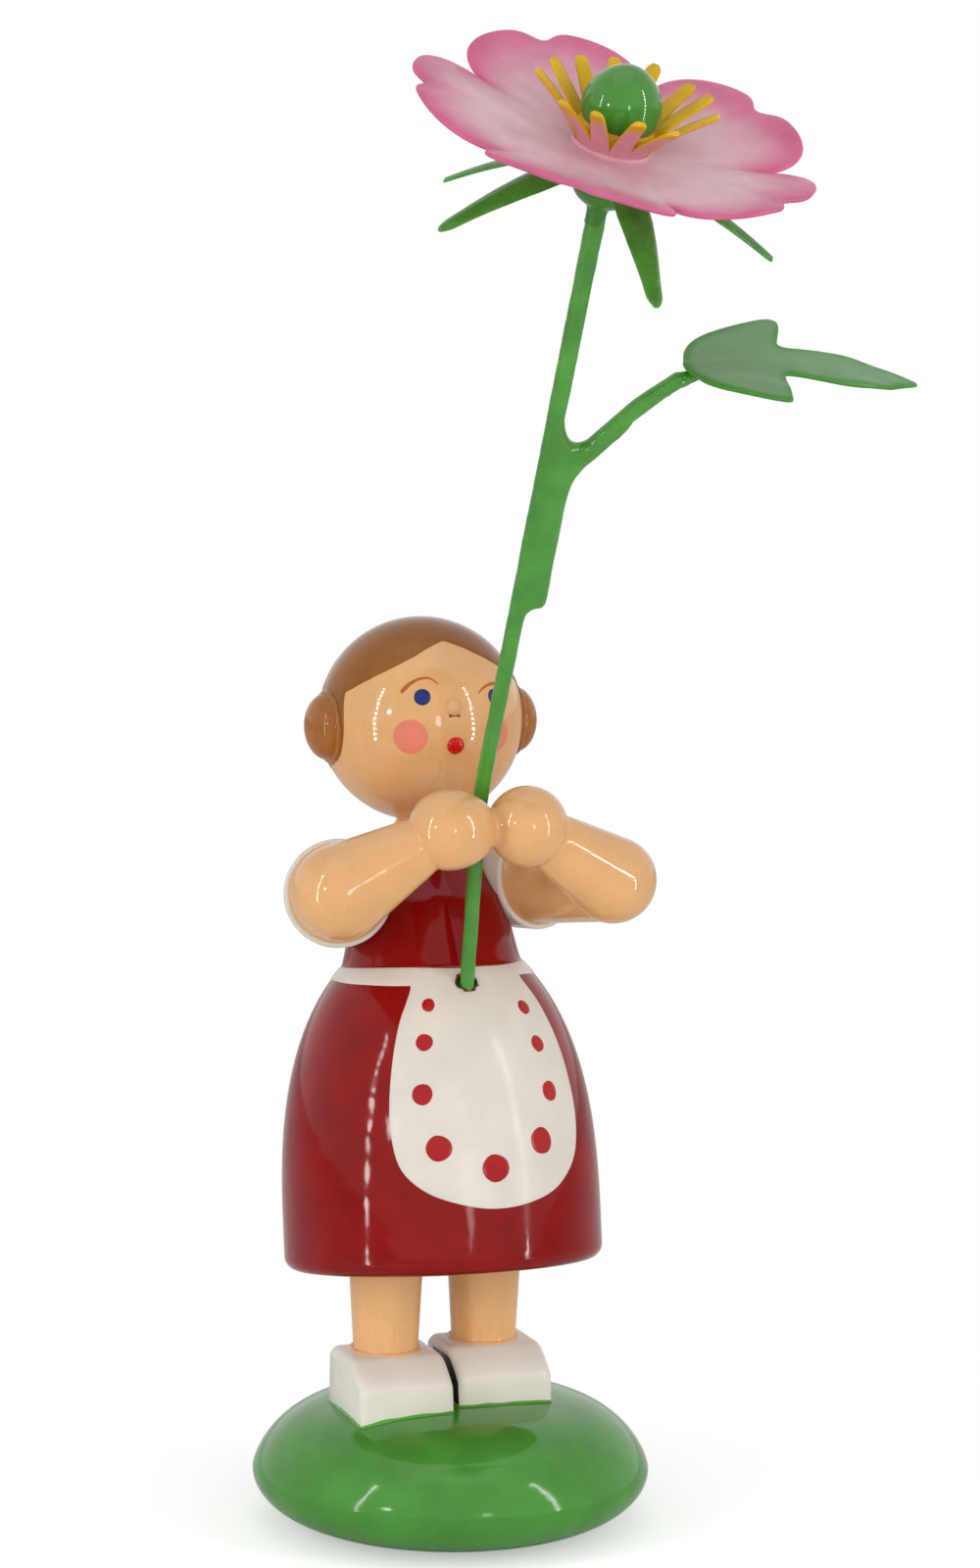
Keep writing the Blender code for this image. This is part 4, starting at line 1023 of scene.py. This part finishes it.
def build_hand_joint():
    """Lacquer fills the corner between the two hands."""
    def reach(radius, stretch):
        """How far a hand comes across, at a distance from the line between the hands."""
        return HAND_R * stretch * sqrt(1 - (radius / HAND_R) ** 2) - HAND.x - 0.03

    rim, neck, core = 1.66, 1.47, 0.8
    right = [(r, reach(r, 1 + HAND_STRETCH)) for r in np.linspace(core, rim, 6)]
    left = [(r, -reach(r, 1.0)) for r in np.linspace(rim, core, 6)]
    low, high = right[-1][1], left[0][1]
    web = [(rim - (rim - neck) * sin(pi * t), low + (high - low) * t)
           for t in np.linspace(0.0, 1.0, 9)[1:-1]]
    profile = [(0.0, right[0][1])] + right + web + left + [(0.0, left[-1][1])]
    place = FIGURE @ aim(Vector((0, HAND.y, HAND.z)), Vector((1, 0, 0)))
    make_piece("hand_joint", lathe(profile, 56), place, [SKIN], slot="forearm_left", sharp=50)


def build_upper_arm(word, side):
    """A sleeve with a round back and a rim, and the bare arm down to the elbow."""
    shoulder, elbow = shoulder_place(side), elbow_place(side)
    length = (elbow - shoulder).length
    sleeve = [(0.0, -SLEEVE_R)] + arc((0.0, 0.0), (SLEEVE_R, SLEEVE_R), -90, 0, 28)[1:]
    sleeve += arc((SLEEVE_R - 0.25, SLEEVE_LENGTH - 0.25), (0.25, 0.25), 0, 90, 6)
    end = elbow_radius(side) - GAP
    start = SLEEVE_LENGTH + 0.1
    arm = [(ARM_R + 0.12, SLEEVE_LENGTH - 0.02), (ARM_R + 0.02, start)]
    arm += [(ARM_R + (end - ARM_R) * s, start + (length - start) * s)
            for s in np.linspace(0.1, 1, 7)]
    slots = [0] * len(sleeve) + [1] * (len(arm) + 1)
    make_piece("upper_arm_%s_turning" % word, lathe(sleeve + arm + [(0.0, length)], 96, slots),
               FIGURE @ aim(shoulder, elbow - shoulder), [WHITE, SKIN],
               node="upper_arm_" + word, sharp=45)


# Stem, branch and leaf

def stem_radius(run):
    share = min(max(run / STEM_RUN, 0.0), 1.0)
    return STEM_R + (STEM_TOP_R - STEM_R) * share


def bezier(start, control, end, steps):
    shares = [k / steps for k in range(1, steps + 1)]
    return [(1 - s) ** 2 * start + 2 * s * (1 - s) * control + s ** 2 * end for s in shares]


def build_stem():
    rise = (STEM_BEND - STEM_HOLE).normalized()
    start = STEM_HOLE - rise * STEM_SINK
    below = STEM_BEND - rise * BEND_REACH
    points = [start + (below - start) * k / 40 for k in range(41)]
    points += bezier(below, STEM_BEND, STEM_BEND + STEM_LEAN * BEND_REACH, 14)
    points += [STEM_BEND + STEM_LEAN * run for run in np.linspace(2.8, STEM_RUN, 150)]
    radii = [stem_radius((p - STEM_BEND).dot(STEM_LEAN)) for p in points]
    make_piece("stem_wire", tube(points, radii, 28, 0.07, 3), FIGURE, [STEM_GREEN], node="stem",
               sharp=180)


# Lacquer round the splice and across the fork: distance beside the stem, and along it
JOINT = [(-0.33, 33.0), (-0.36, 30.0), (-0.36, 26.0), (-0.34, 22.0), (-0.36, 18.0), (-0.36, 15.6),
         (-0.2, 14.9), (0.15, 14.7), (0.5, 15.0), (0.6, 15.6), (0.7, 16.1), (1.0, 16.45),
         (1.5, 16.62), (1.9, 16.84), (2.02, 17.25), (2.03, 18.4), (1.98, 20.5), (2.0, 23.0),
         (1.98, 25.0), (2.05, 26.3), (2.26, 27.4), (2.8, 28.4), (3.6, 29.3), (4.4, 30.2),
         (5.1, 31.0), (5.6, 31.7), (5.85, 32.3), (5.75, 32.7), (5.35, 32.7), (4.7, 32.3),
         (4.0, 31.72), (3.4, 31.1), (2.95, 30.68), (2.5, 30.42), (2.05, 30.36), (1.65, 30.5),
         (1.3, 30.82), (1.0, 31.3), (0.76, 31.95), (0.58, 32.7), (0.35, 33.3), (0.0, 33.45)]

# The leaf's edge, from its seat round the far lobe, the tip and the near lobe
LEAF = [(0.1, 0.0), (0.37, 0.9), (0.76, 1.9), (1.45, 2.75), (2.5, 3.4), (3.7, 3.9), (4.95, 4.35),
        (6.3, 4.8), (7.5, 5.15), (8.3, 5.2), (8.7, 4.8), (8.6, 4.05), (8.2, 3.05), (7.95, 2.3),
        (8.2, 1.95), (8.8, 1.86), (9.9, 1.88), (11.05, 1.9), (12.2, 1.8), (13.7, 1.45),
        (15.2, 1.03), (16.8, 0.6), (18.3, 0.16), (18.55, -0.05), (18.2, -0.3), (17.1, -0.9),
        (15.2, -1.75), (13.4, -2.05), (11.6, -2.0), (10.0, -1.75), (8.7, -1.5), (7.6, -1.36),
        (7.2, -1.6), (7.05, -2.3), (6.85, -3.5), (6.62, -4.7), (6.4, -5.0), (5.9, -5.0),
        (5.07, -4.75), (4.0, -4.2), (3.0, -3.6), (2.1, -3.0), (1.14, -2.1), (0.54, -1.1)]


def branch_line():
    """Lower end of the branch beside the stem, the fork, and its end under the leaf."""
    beside = stem_radius(SPLICE_START + SPLICE_LENGTH) + BRANCH_R + GAP
    low = STEM_BEND + STEM_LEAN * SPLICE_START + Vector((beside, 0, 0))
    fork = low + STEM_LEAN * SPLICE_LENGTH
    rise = SPLICE_START + SPLICE_LENGTH + BRANCH_OUT
    return low, fork, STEM_BEND + STEM_LEAN * rise + Vector((BRANCH_OUT, 0, 0))


def leaf_frame():
    end = branch_line()[2]
    roll = Matrix.Rotation(LEAF_ROLL, 4, "X") @ Matrix.Rotation(LEAF_DROOP, 4, "Y")
    seat = BRANCH_R + SHEET / 2 + GAP
    return Matrix.Translation(end + roll.to_3x3() @ Vector((0, 0, seat))) @ roll


def build_branch():
    low, fork, end = branch_line()
    knee = fork + STEM_LEAN * 1.5
    out = knee + (end - knee) * 0.25
    points = [low + (fork - low) * k / 40 for k in range(41)]
    points += bezier(fork, knee, out, 16)
    bow = Vector((-0.7, 0, 0)) + STEM_LEAN * 0.7
    points += [out + (end - out) * k / 30 + bow * 0.26 * sin(pi * k / 30)
               for k in range(1, 31)]
    turn = leaf_frame().to_3x3()
    points += [end + turn @ Vector((0.2 * k, 0, 0.016 * k * k)) for k in range(1, 6)]
    taper = [max(k - len(points) + 6, 0) / 5 for k in range(len(points))]
    radii = [BRANCH_R * (1.0 - 0.45 * share ** 1.5) for share in taper]
    make_piece("branch_wire", tube(points, radii, 28, 0.08, 11), FIGURE, [STEM_GREEN],
               node="leaf_branch", sharp=180)
    plane = Matrix((Vector((1, 0, 0)), STEM_LEAN, Vector((1, 0, 0)).cross(STEM_LEAN)))
    placing = FIGURE @ Matrix.Translation(STEM_BEND) @ plane.transposed().to_4x4()
    loop = resample(smooth_line(JOINT, 6, True), 0.16)
    sheet("joint_lacquer", loop, lambda x, y: 0.0, 1.26, [STEM_GREEN], placing, slot="stem",
          spacing=0.4, round_off=0.58, rims=(0.1, 0.3, 0.6, 1.0), lumps=0.1)


def leaf_height(along, width):
    share = along / LEAF_LENGTH
    bend = LEAF_ARCH * 4 * share * (1 - share) + abs(width) * LEAF_LIFT
    rib = 0.22 * exp(-(width / 0.45) ** 2) * max(0.0, 1 - share * 1.15)
    veins = 0.05 * sin(abs(width) * 2.6 - along * 1.1) * min(abs(width) / 2.0, 1.0)
    return bend + rib + veins


def build_leaf():
    loop = resample(smooth_line(LEAF, 6, True), 0.2)
    sheet("leaf_sheet", loop, leaf_height, SHEET, [LEAF_TOP_SHEEN, LEAF_BACK], FIGURE @ leaf_frame(),
          "leaf", spacing=0.45)


def build_leaf_stalk():
    """The branch's end is drawn out in lacquer on to the leaf's midrib."""
    fork, end = branch_line()[1:]
    inside_branch = leaf_frame().inverted() @ (end - (end - fork).normalized() * 1.2)
    line = smooth_line([inside_branch, (0.05, 0.0, -0.92), (0.95, 0.0, -0.56), (1.8, 0.0, -0.02),
                        (3.0, 0.0, 0.4), (4.6, 0.0, 0.74)], 6)
    radii = np.interp(np.linspace(0, 1, len(line)), (0, 0.2, 0.4, 0.6, 0.8, 1.0),
                      (0.42, 0.5, 0.44, 0.34, 0.2, 0.1))
    make_piece("leaf_stalk", tube(line, list(radii), 20, 0.06, 5), FIGURE @ leaf_frame(),
               [STEM_GREEN], slot="leaf_branch", sharp=180)


# Flower

FLOWER_TURN = Matrix.Rotation(radians(31.4), 4, "X") @ Matrix.Rotation(radians(6.7), 4, "Y")
FLOWER = FIGURE @ Matrix.Translation(STEM_BEND + STEM_LEAN * STEM_RUN) @ FLOWER_TURN
BLOOM = FLOWER @ Matrix.Translation((-0.35, 0, 0))
CALYX_UP = CUP_HEIGHT + GAP + SHEET / 2
COROLLA_UP = CALYX_UP + SHEET + GAP
CROWN_UP = COROLLA_UP + SHEET + GAP
PISTIL_UP = CROWN_UP + SHEET / 2 + GAP


def build_receptacle():
    bowl = [(CUP_R * (1.0 - t ** 2.5) ** 0.4, CUP_HEIGHT * (1.0 - t))
            for t in np.linspace(0.96, 0.0, 30)]
    neck = [(0.66, -1.3), (0.68, -0.8), (0.71, -0.45), (0.77, -0.2), (0.88, 0.0)]
    profile = [(0.0, -1.3)] + neck + bowl + [(CUP_R - 0.1, CUP_HEIGHT + 0.08), (0, CUP_HEIGHT)]
    make_piece("receptacle_turning", lathe(profile, 72), FLOWER, [CUP_SHADE_GREEN], node="receptacle")


# Each sepal is bent by hand: its turn in degrees, then its shares of droop and length
SEPAL_BENDS = ((0, 1.0, 1.0), (5, 1.45, 0.94), (-9, 1.22, 0.98), (-4, 1.08, 1.0), (0, 1.1, 0.98))
# Share of the length from the hub, and share of the widest half width
SEPAL_WIDTHS = [(0.0, 0.9), (0.15, 0.95), (0.3, 0.98), (0.47, 0.97), (0.65, 0.8), (0.85, 0.54),
                (0.94, 0.46), (0.97, 0.37), (0.99, 0.24), (1.0, 0.1)]


def star_hub(radii, slots=None):
    """The flat middle of a sheet star, with its radius below, at its edge and above."""
    heights = (-SHEET / 2, 0.0, SHEET / 2)
    return lathe([(0.0, -SHEET / 2), *zip(radii, heights), (0.0, SHEET / 2)], 48, slots)


def add_arm(bm, angle, shares, section, slots=(0,)):
    """An arm of a sheet star: section gives the (out, aside, up, edge) points at a share."""
    layer = bm.verts.layers.float.get("edge") or bm.verts.layers.float.new("edge")
    turn = Matrix.Rotation(angle, 3, "Z")
    rings = []
    for share in shares:
        ring = []
        for *spot, edge in section(share):
            ring.append(bm.verts.new(turn @ Vector(spot)))
            ring[-1][layer] = edge
        rings.append(ring)
    for low, high in zip(rings, rings[1:]):
        bridge(bm, low, high, slots)
    for ring in (rings[0], rings[-1]):
        for k in range(len(ring) // 2 - 1):
            bm.faces.new((ring[k], ring[k + 1], ring[-k - 2], ring[-k - 1]))


def build_calyx():
    """Five sepals, each cupped a little along its middle, on one small hub."""
    bm = star_hub((2.6, 2.75, 2.6))
    shares = [*np.linspace(0.1, 0.94, 28), 0.96, 0.98, 0.992, 1.0]
    across = np.linspace(-1, 1, 9)
    around = [(1, w) for w in across] + [(-1, w) for w in across[::-1]]
    for arm, (turn, droop_share, length_share) in enumerate(SEPAL_BENDS):
        droop = SEPAL_DROOP * droop_share
        reach = sqrt((SEPAL_LENGTH * length_share) ** 2 - droop ** 2)

        def section(s):
            half = SEPAL_HALF * np.interp(s, *zip(*SEPAL_WIDTHS))
            for sign, w in around:
                rib = 0.09 * exp(-(w / 0.25) ** 2)
                thick = (SHEET / 2 * sqrt(max(1 - abs(w) ** 3, 0.0)) + 0.02) * (1 - 0.35 * s ** 6)
                height = -droop * s ** 1.5 - 0.16 * w * w * half + rib + sign * thick
                yield reach * s, half * w, height, abs(w)

        add_arm(bm, SEPAL_PHASE + tau * arm / 5 + radians(turn), shares, section)
    make_piece("calyx_sheet", bm, FLOWER @ raised(CALYX_UP), [SEPAL], node="calyx", sharp=50)


def petal_side(angle):
    """How far a direction lies to the side in its petal: 0 at the middle, 1 at a gap."""
    sector = tau / 5
    return abs((angle - PETAL_PHASE + sector / 2) % sector - sector / 2) / (sector / 2)


def petal_edge(angle):
    side = petal_side(angle)
    lobe = (PETAL_R - PETAL_GAP_R) * sqrt(1.0 - side ** 4)
    return PETAL_GAP_R + lobe - exp(-(side / 0.12) ** 2)


def petal_height(x, y):
    """The dish of the corolla, each petal arched and its lobes a little waved."""
    out = max(hypot(x, y) - FLOOR_R, 0.0)
    side = petal_side(atan2(y, x))
    share = out / (PETAL_R - FLOOR_R)
    bent = min(out / (PETAL_GAP_R - FLOOR_R), 1.0)
    groove = 0.2 * share ** 2 * exp(-(side / 0.2) ** 2)
    return PETAL_RISE * share - PETAL_ARCH * bent * side ** 2 - groove


def petal_share(x, y):
    """0 in the flower's middle and 1 at its edge, for the airbrushed pink edge; the front petals'
    pink is narrower, painted reflection that makes them paler.
    """
    angle = atan2(y, x)
    # Painted reflection: the petals facing the front get less pink
    front = 0.5 + 0.5 * cos(angle - PETAL_FRONT)
    return min(hypot(x, y) / petal_edge(angle), 1.0) ** (1.0 + 1.3 * front)


def build_corolla():
    angles = np.linspace(0, tau, 720, endpoint=False)
    outline = [(petal_edge(a) * cos(a), petal_edge(a) * sin(a)) for a in angles]
    loop = resample(outline, 0.3)
    sheet("corolla_sheet", loop, petal_height, SHEET, [PETAL, PETAL_BACK],
          BLOOM @ raised(COROLLA_UP), "corolla", spacing=0.6, edge=petal_share)


# Each strip is bent by hand: its direction in degrees, its reach and its rise
CROWN_TIPS = ((22, 6.3, 3.8), (51, 6.3, 3.9), (77, 6.2, 3.6), (102, 6.1, 3.5), (126, 6.2, 3.5),
              (155, 6.2, 3.5), (205, 6.2, 3.5), (230, 5.9, 3.7), (260, 5.8, 3.8), (286, 6.1, 3.5),
              (333, 6.5, 3.9), (3, 6.5, 3.9))


def build_crown():
    """Twelve strips that lean outwards: yellow inside, pink outside with yellow tips."""
    bm = star_hub((2.55, 2.62, CROWN_HUB), [1, 1, 0, 0])
    shares = (0.0, 0.06, 0.12, 0.26, 0.4, 0.55, 0.7, 0.85, 0.94, 0.98, 1.0)
    corners = ((-1, 0.5), (-0.8, 1), (0.8, 1), (1, 0.5), (1, -0.5), (0.8, -1), (-0.8, -1),
               (-1, -0.5))
    for arm, (turn, reach, rise) in enumerate(CROWN_TIPS):
        lean = random.Random(40 + arm).uniform(-0.06, 0.06)

        def section(s):
            slope = Vector((3.8, 3.5 * 0.8 * max(s, 0.05) ** -0.2)).normalized()
            half = (0.53 + 0.2 * (1.0 - s) ** 2) * sqrt(1 - 0.75 * max(s - 0.92, 0) / 0.08)
            for w, t in corners:
                thick = SHEET / 2 * 0.85 * t
                yield (CROWN_HUB + (reach - CROWN_HUB) * s + slope.y * thick,
                       half * w + lean * s, rise * s ** 0.8 - slope.x * thick, s)

        add_arm(bm, radians(turn), shares, section, (1, 1, 1, 0, 0, 0, 0, 0))
    make_piece("stamen_sheet", bm, BLOOM @ raised(CROWN_UP), [STAMEN, STAMEN_BACK],
               node="stamen_crown", sharp=50)


def build_pistil():
    middle = EGG_HEIGHT / 2
    foot = -degrees(acos(1.0 / EGG_R))
    oval = arc((0.0, 0.0), (EGG_R, middle), foot, 90, 56)
    profile = [(radius * (1.0 - EGG_TAPER * height / middle), height - oval[0][1])
               for radius, height in oval]
    profile = [(0.0, -0.1)] + profile[:-1] + [(0.0, profile[-1][1])]
    make_piece("pistil_bead", lathe(profile, 96), BLOOM @ raised(PISTIL_UP), [EGG_GREEN],
               node="pistil", sharp=60)
    pool = [(0.0, 0.1), (2.7, 0.1), (2.78, 0.3), (2.76, 0.6), (2.72, 0.9), (2.7, 1.2),
            (2.6, 1.42), (2.2, 1.5), (1.5, 1.0), (0.0, 0.9)]
    make_piece("pistil_seat_pool", lathe(pool, 72), BLOOM @ raised(CROWN_UP), [STAMEN_POOL],
               slot="stamen_crown", sharp=60)
    bead("crown_seam_bead", circle(2.66, COROLLA_UP + SHEET / 2 + 0.08, 72), 0.22, CROWN_SEAM,
         "corolla", BLOOM, 0.15)


# Camera, floor and light

# Where the photo was taken from: angles in radians, lengths in metres, the lens in pixels
VIEW_AZIMUTH = radians(-20.0)
VIEW_ELEVATION = radians(8.5)
VIEW_ROLL = radians(0.5)
VIEW_MIDDLE = Vector((0.002398, -0.000873, 0.056261))
VIEW_DISTANCE = 0.42
FOCAL_PIXELS = 5754.0
PHOTO_HEIGHT = 1600.0
SENSOR = 36.0
# What the lamps are placed round, and the two columns' lowest lamp and spacing, in metres
LAMP_MIDDLE = Vector((0, -0.005, 0.055))
COLUMN_STEP = 0.018
COLUMN_BOTTOM = -0.049


def build_camera():
    turn = (Matrix.Rotation(VIEW_AZIMUTH, 4, "Z") @ Matrix.Rotation(pi / 2 - VIEW_ELEVATION, 4, "X")
            @ Matrix.Rotation(VIEW_ROLL, 4, "Z"))
    camera = bpy.data.cameras.new("camera")
    camera.lens = FOCAL_PIXELS / PHOTO_HEIGHT * SENSOR
    camera.sensor_width = SENSOR
    camera.clip_start = 0.01
    camera.dof.use_dof = False
    viewer = add_object("camera", camera)
    viewer.matrix_world = Matrix.Translation(VIEW_MIDDLE) @ turn @ raised(VIEW_DISTANCE)
    bpy.context.scene.camera = viewer


def build_lamp(name, place, size, energy, shape="DISK", mirrored=True, below=0.0):
    """An area lamp at (degrees to the camera's right, distance, height) from the middle.

    It shines at the middle, or at a point below it.
    """
    turn, distance, height = place
    way = Matrix.Rotation(VIEW_AZIMUTH + radians(turn), 3, "Z") @ Vector((0, -distance, height))
    lamp = bpy.data.lights.new(name, "AREA")
    lamp.shape = shape
    lamp.size, lamp.size_y = size
    lamp.energy = energy
    holder = add_object(name, lamp)
    holder.matrix_world = aim(LAMP_MIDDLE + way, way + Vector((0, 0, below)))
    holder.visible_glossy = mirrored
    holder.visible_camera = False


def build_floor():
    """A pale floor that keeps the shadow near the object and fades to white further out."""
    bpy.ops.mesh.primitive_grid_add(x_subdivisions=8, y_subdivisions=8, size=6.0,
                                    location=(0, 0, -0.0002))
    floor = bpy.context.object
    floor.name = "floor"
    n = paint_nodes("floor_white")
    seen = n.add("LightPath").outputs["Is Camera Ray"]
    shade = n.mix(n.ramp(n.noise(9.0, 2.0), 0.3, 0.7), (0.9, 0.9, 0.9, 1), (0.92, 0.92, 0.92, 1))
    for key, value in (("Base Color", shade), ("Roughness", 0.9), ("Specular IOR Level", 0.1),
                       ("Emission Color", (1, 1, 1, 1)),
                       ("Emission Strength", n.math("MULTIPLY", seen, 0.42))):
        n.set(n.shader, key, value)
    distance = n.add("VectorMath", {"Vector": n.coord}, operation="LENGTH")
    far = n.ramp(distance.outputs["Value"], 0.022, 0.055)
    white = n.add("Emission", {"Strength": 1.0})
    blend = n.add("MixShader", {0: n.math("MULTIPLY", seen, far), 1: n.shader.outputs[0],
                                2: white.outputs[0]})
    n.set(n.tree.nodes["Material Output"], "Surface", blend.outputs[0])
    floor.data.materials.append(n.owner)
    floor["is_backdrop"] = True


def build_world():
    """White for camera, glossy and transmission rays, and softer as a light."""
    world = bpy.data.worlds.new("studio")
    n = Nodes(world, "Background")
    path = n.add("LightPath").outputs
    seen = n.math("MAXIMUM", path["Is Camera Ray"], path["Is Glossy Ray"])
    seen = n.math("MAXIMUM", seen, path["Is Transmission Ray"])
    level = n.add("MapRange", {"Value": seen, "To Min": 0.46, "To Max": 1.0})
    n.set(n.shader, "Strength", level.outputs[0])
    n.set(n.shader, "Color", (1, 1, 1, 1))
    bpy.context.scene.world = world


def build_lamps():
    """Two columns of small lamps, one on each side of the camera, and soft light between."""
    for word, turn, energy in (("left", -54, 0.0087), ("right", 63, 0.0095)):
        for index in range(12):
            place = (turn, 0.2, COLUMN_STEP * index + COLUMN_BOTTOM)
            build_lamp("column_%s_%d" % (word, index + 1), place, (0.011, 0.011), energy)
    build_lamp("top", (0, 0.12, 0.75), (0.6, 0.6), 0.6, "RECTANGLE")
    build_lamp("front", (0, 0.55, 0.17), (0.35, 0.25), 0.52, "RECTANGLE", False, 0.03)
    build_lamp("round", (-37, 0.6, 0.147), (0.055, 0.055), 0.2)
    build_lamp("oval", (21, 0.5, 0.051), (0.06, 0.11), 0.12, "ELLIPSE")


def main():
    for name in ("neck_pin", "shoulder_pin_right", "shoulder_pin_left"):
        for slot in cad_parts[name].material_slots:
            slot.material = PIN_WOOD
    build_base()
    for word, side in (("right", -1), ("left", 1)):
        for build in (build_shoe, build_leg, build_bun, build_forearm, build_upper_arm):
            build(word, side)
    for build in (build_hand_joint, build_body, build_apron, build_stem_rim, build_head,
                  build_face, build_hair, build_stem, build_branch, build_leaf,
                  build_leaf_stalk, build_receptacle, build_calyx, build_corolla, build_crown,
                  build_pistil):
        build()
    build_camera()
    build_lamps()
    build_floor()
    build_world()
    bpy.context.scene.view_settings.view_transform = "Standard"


main()
LOOKS_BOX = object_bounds()
[[list(corner) for corner in box] for box in (CAD_BOX, LOOKS_BOX)]
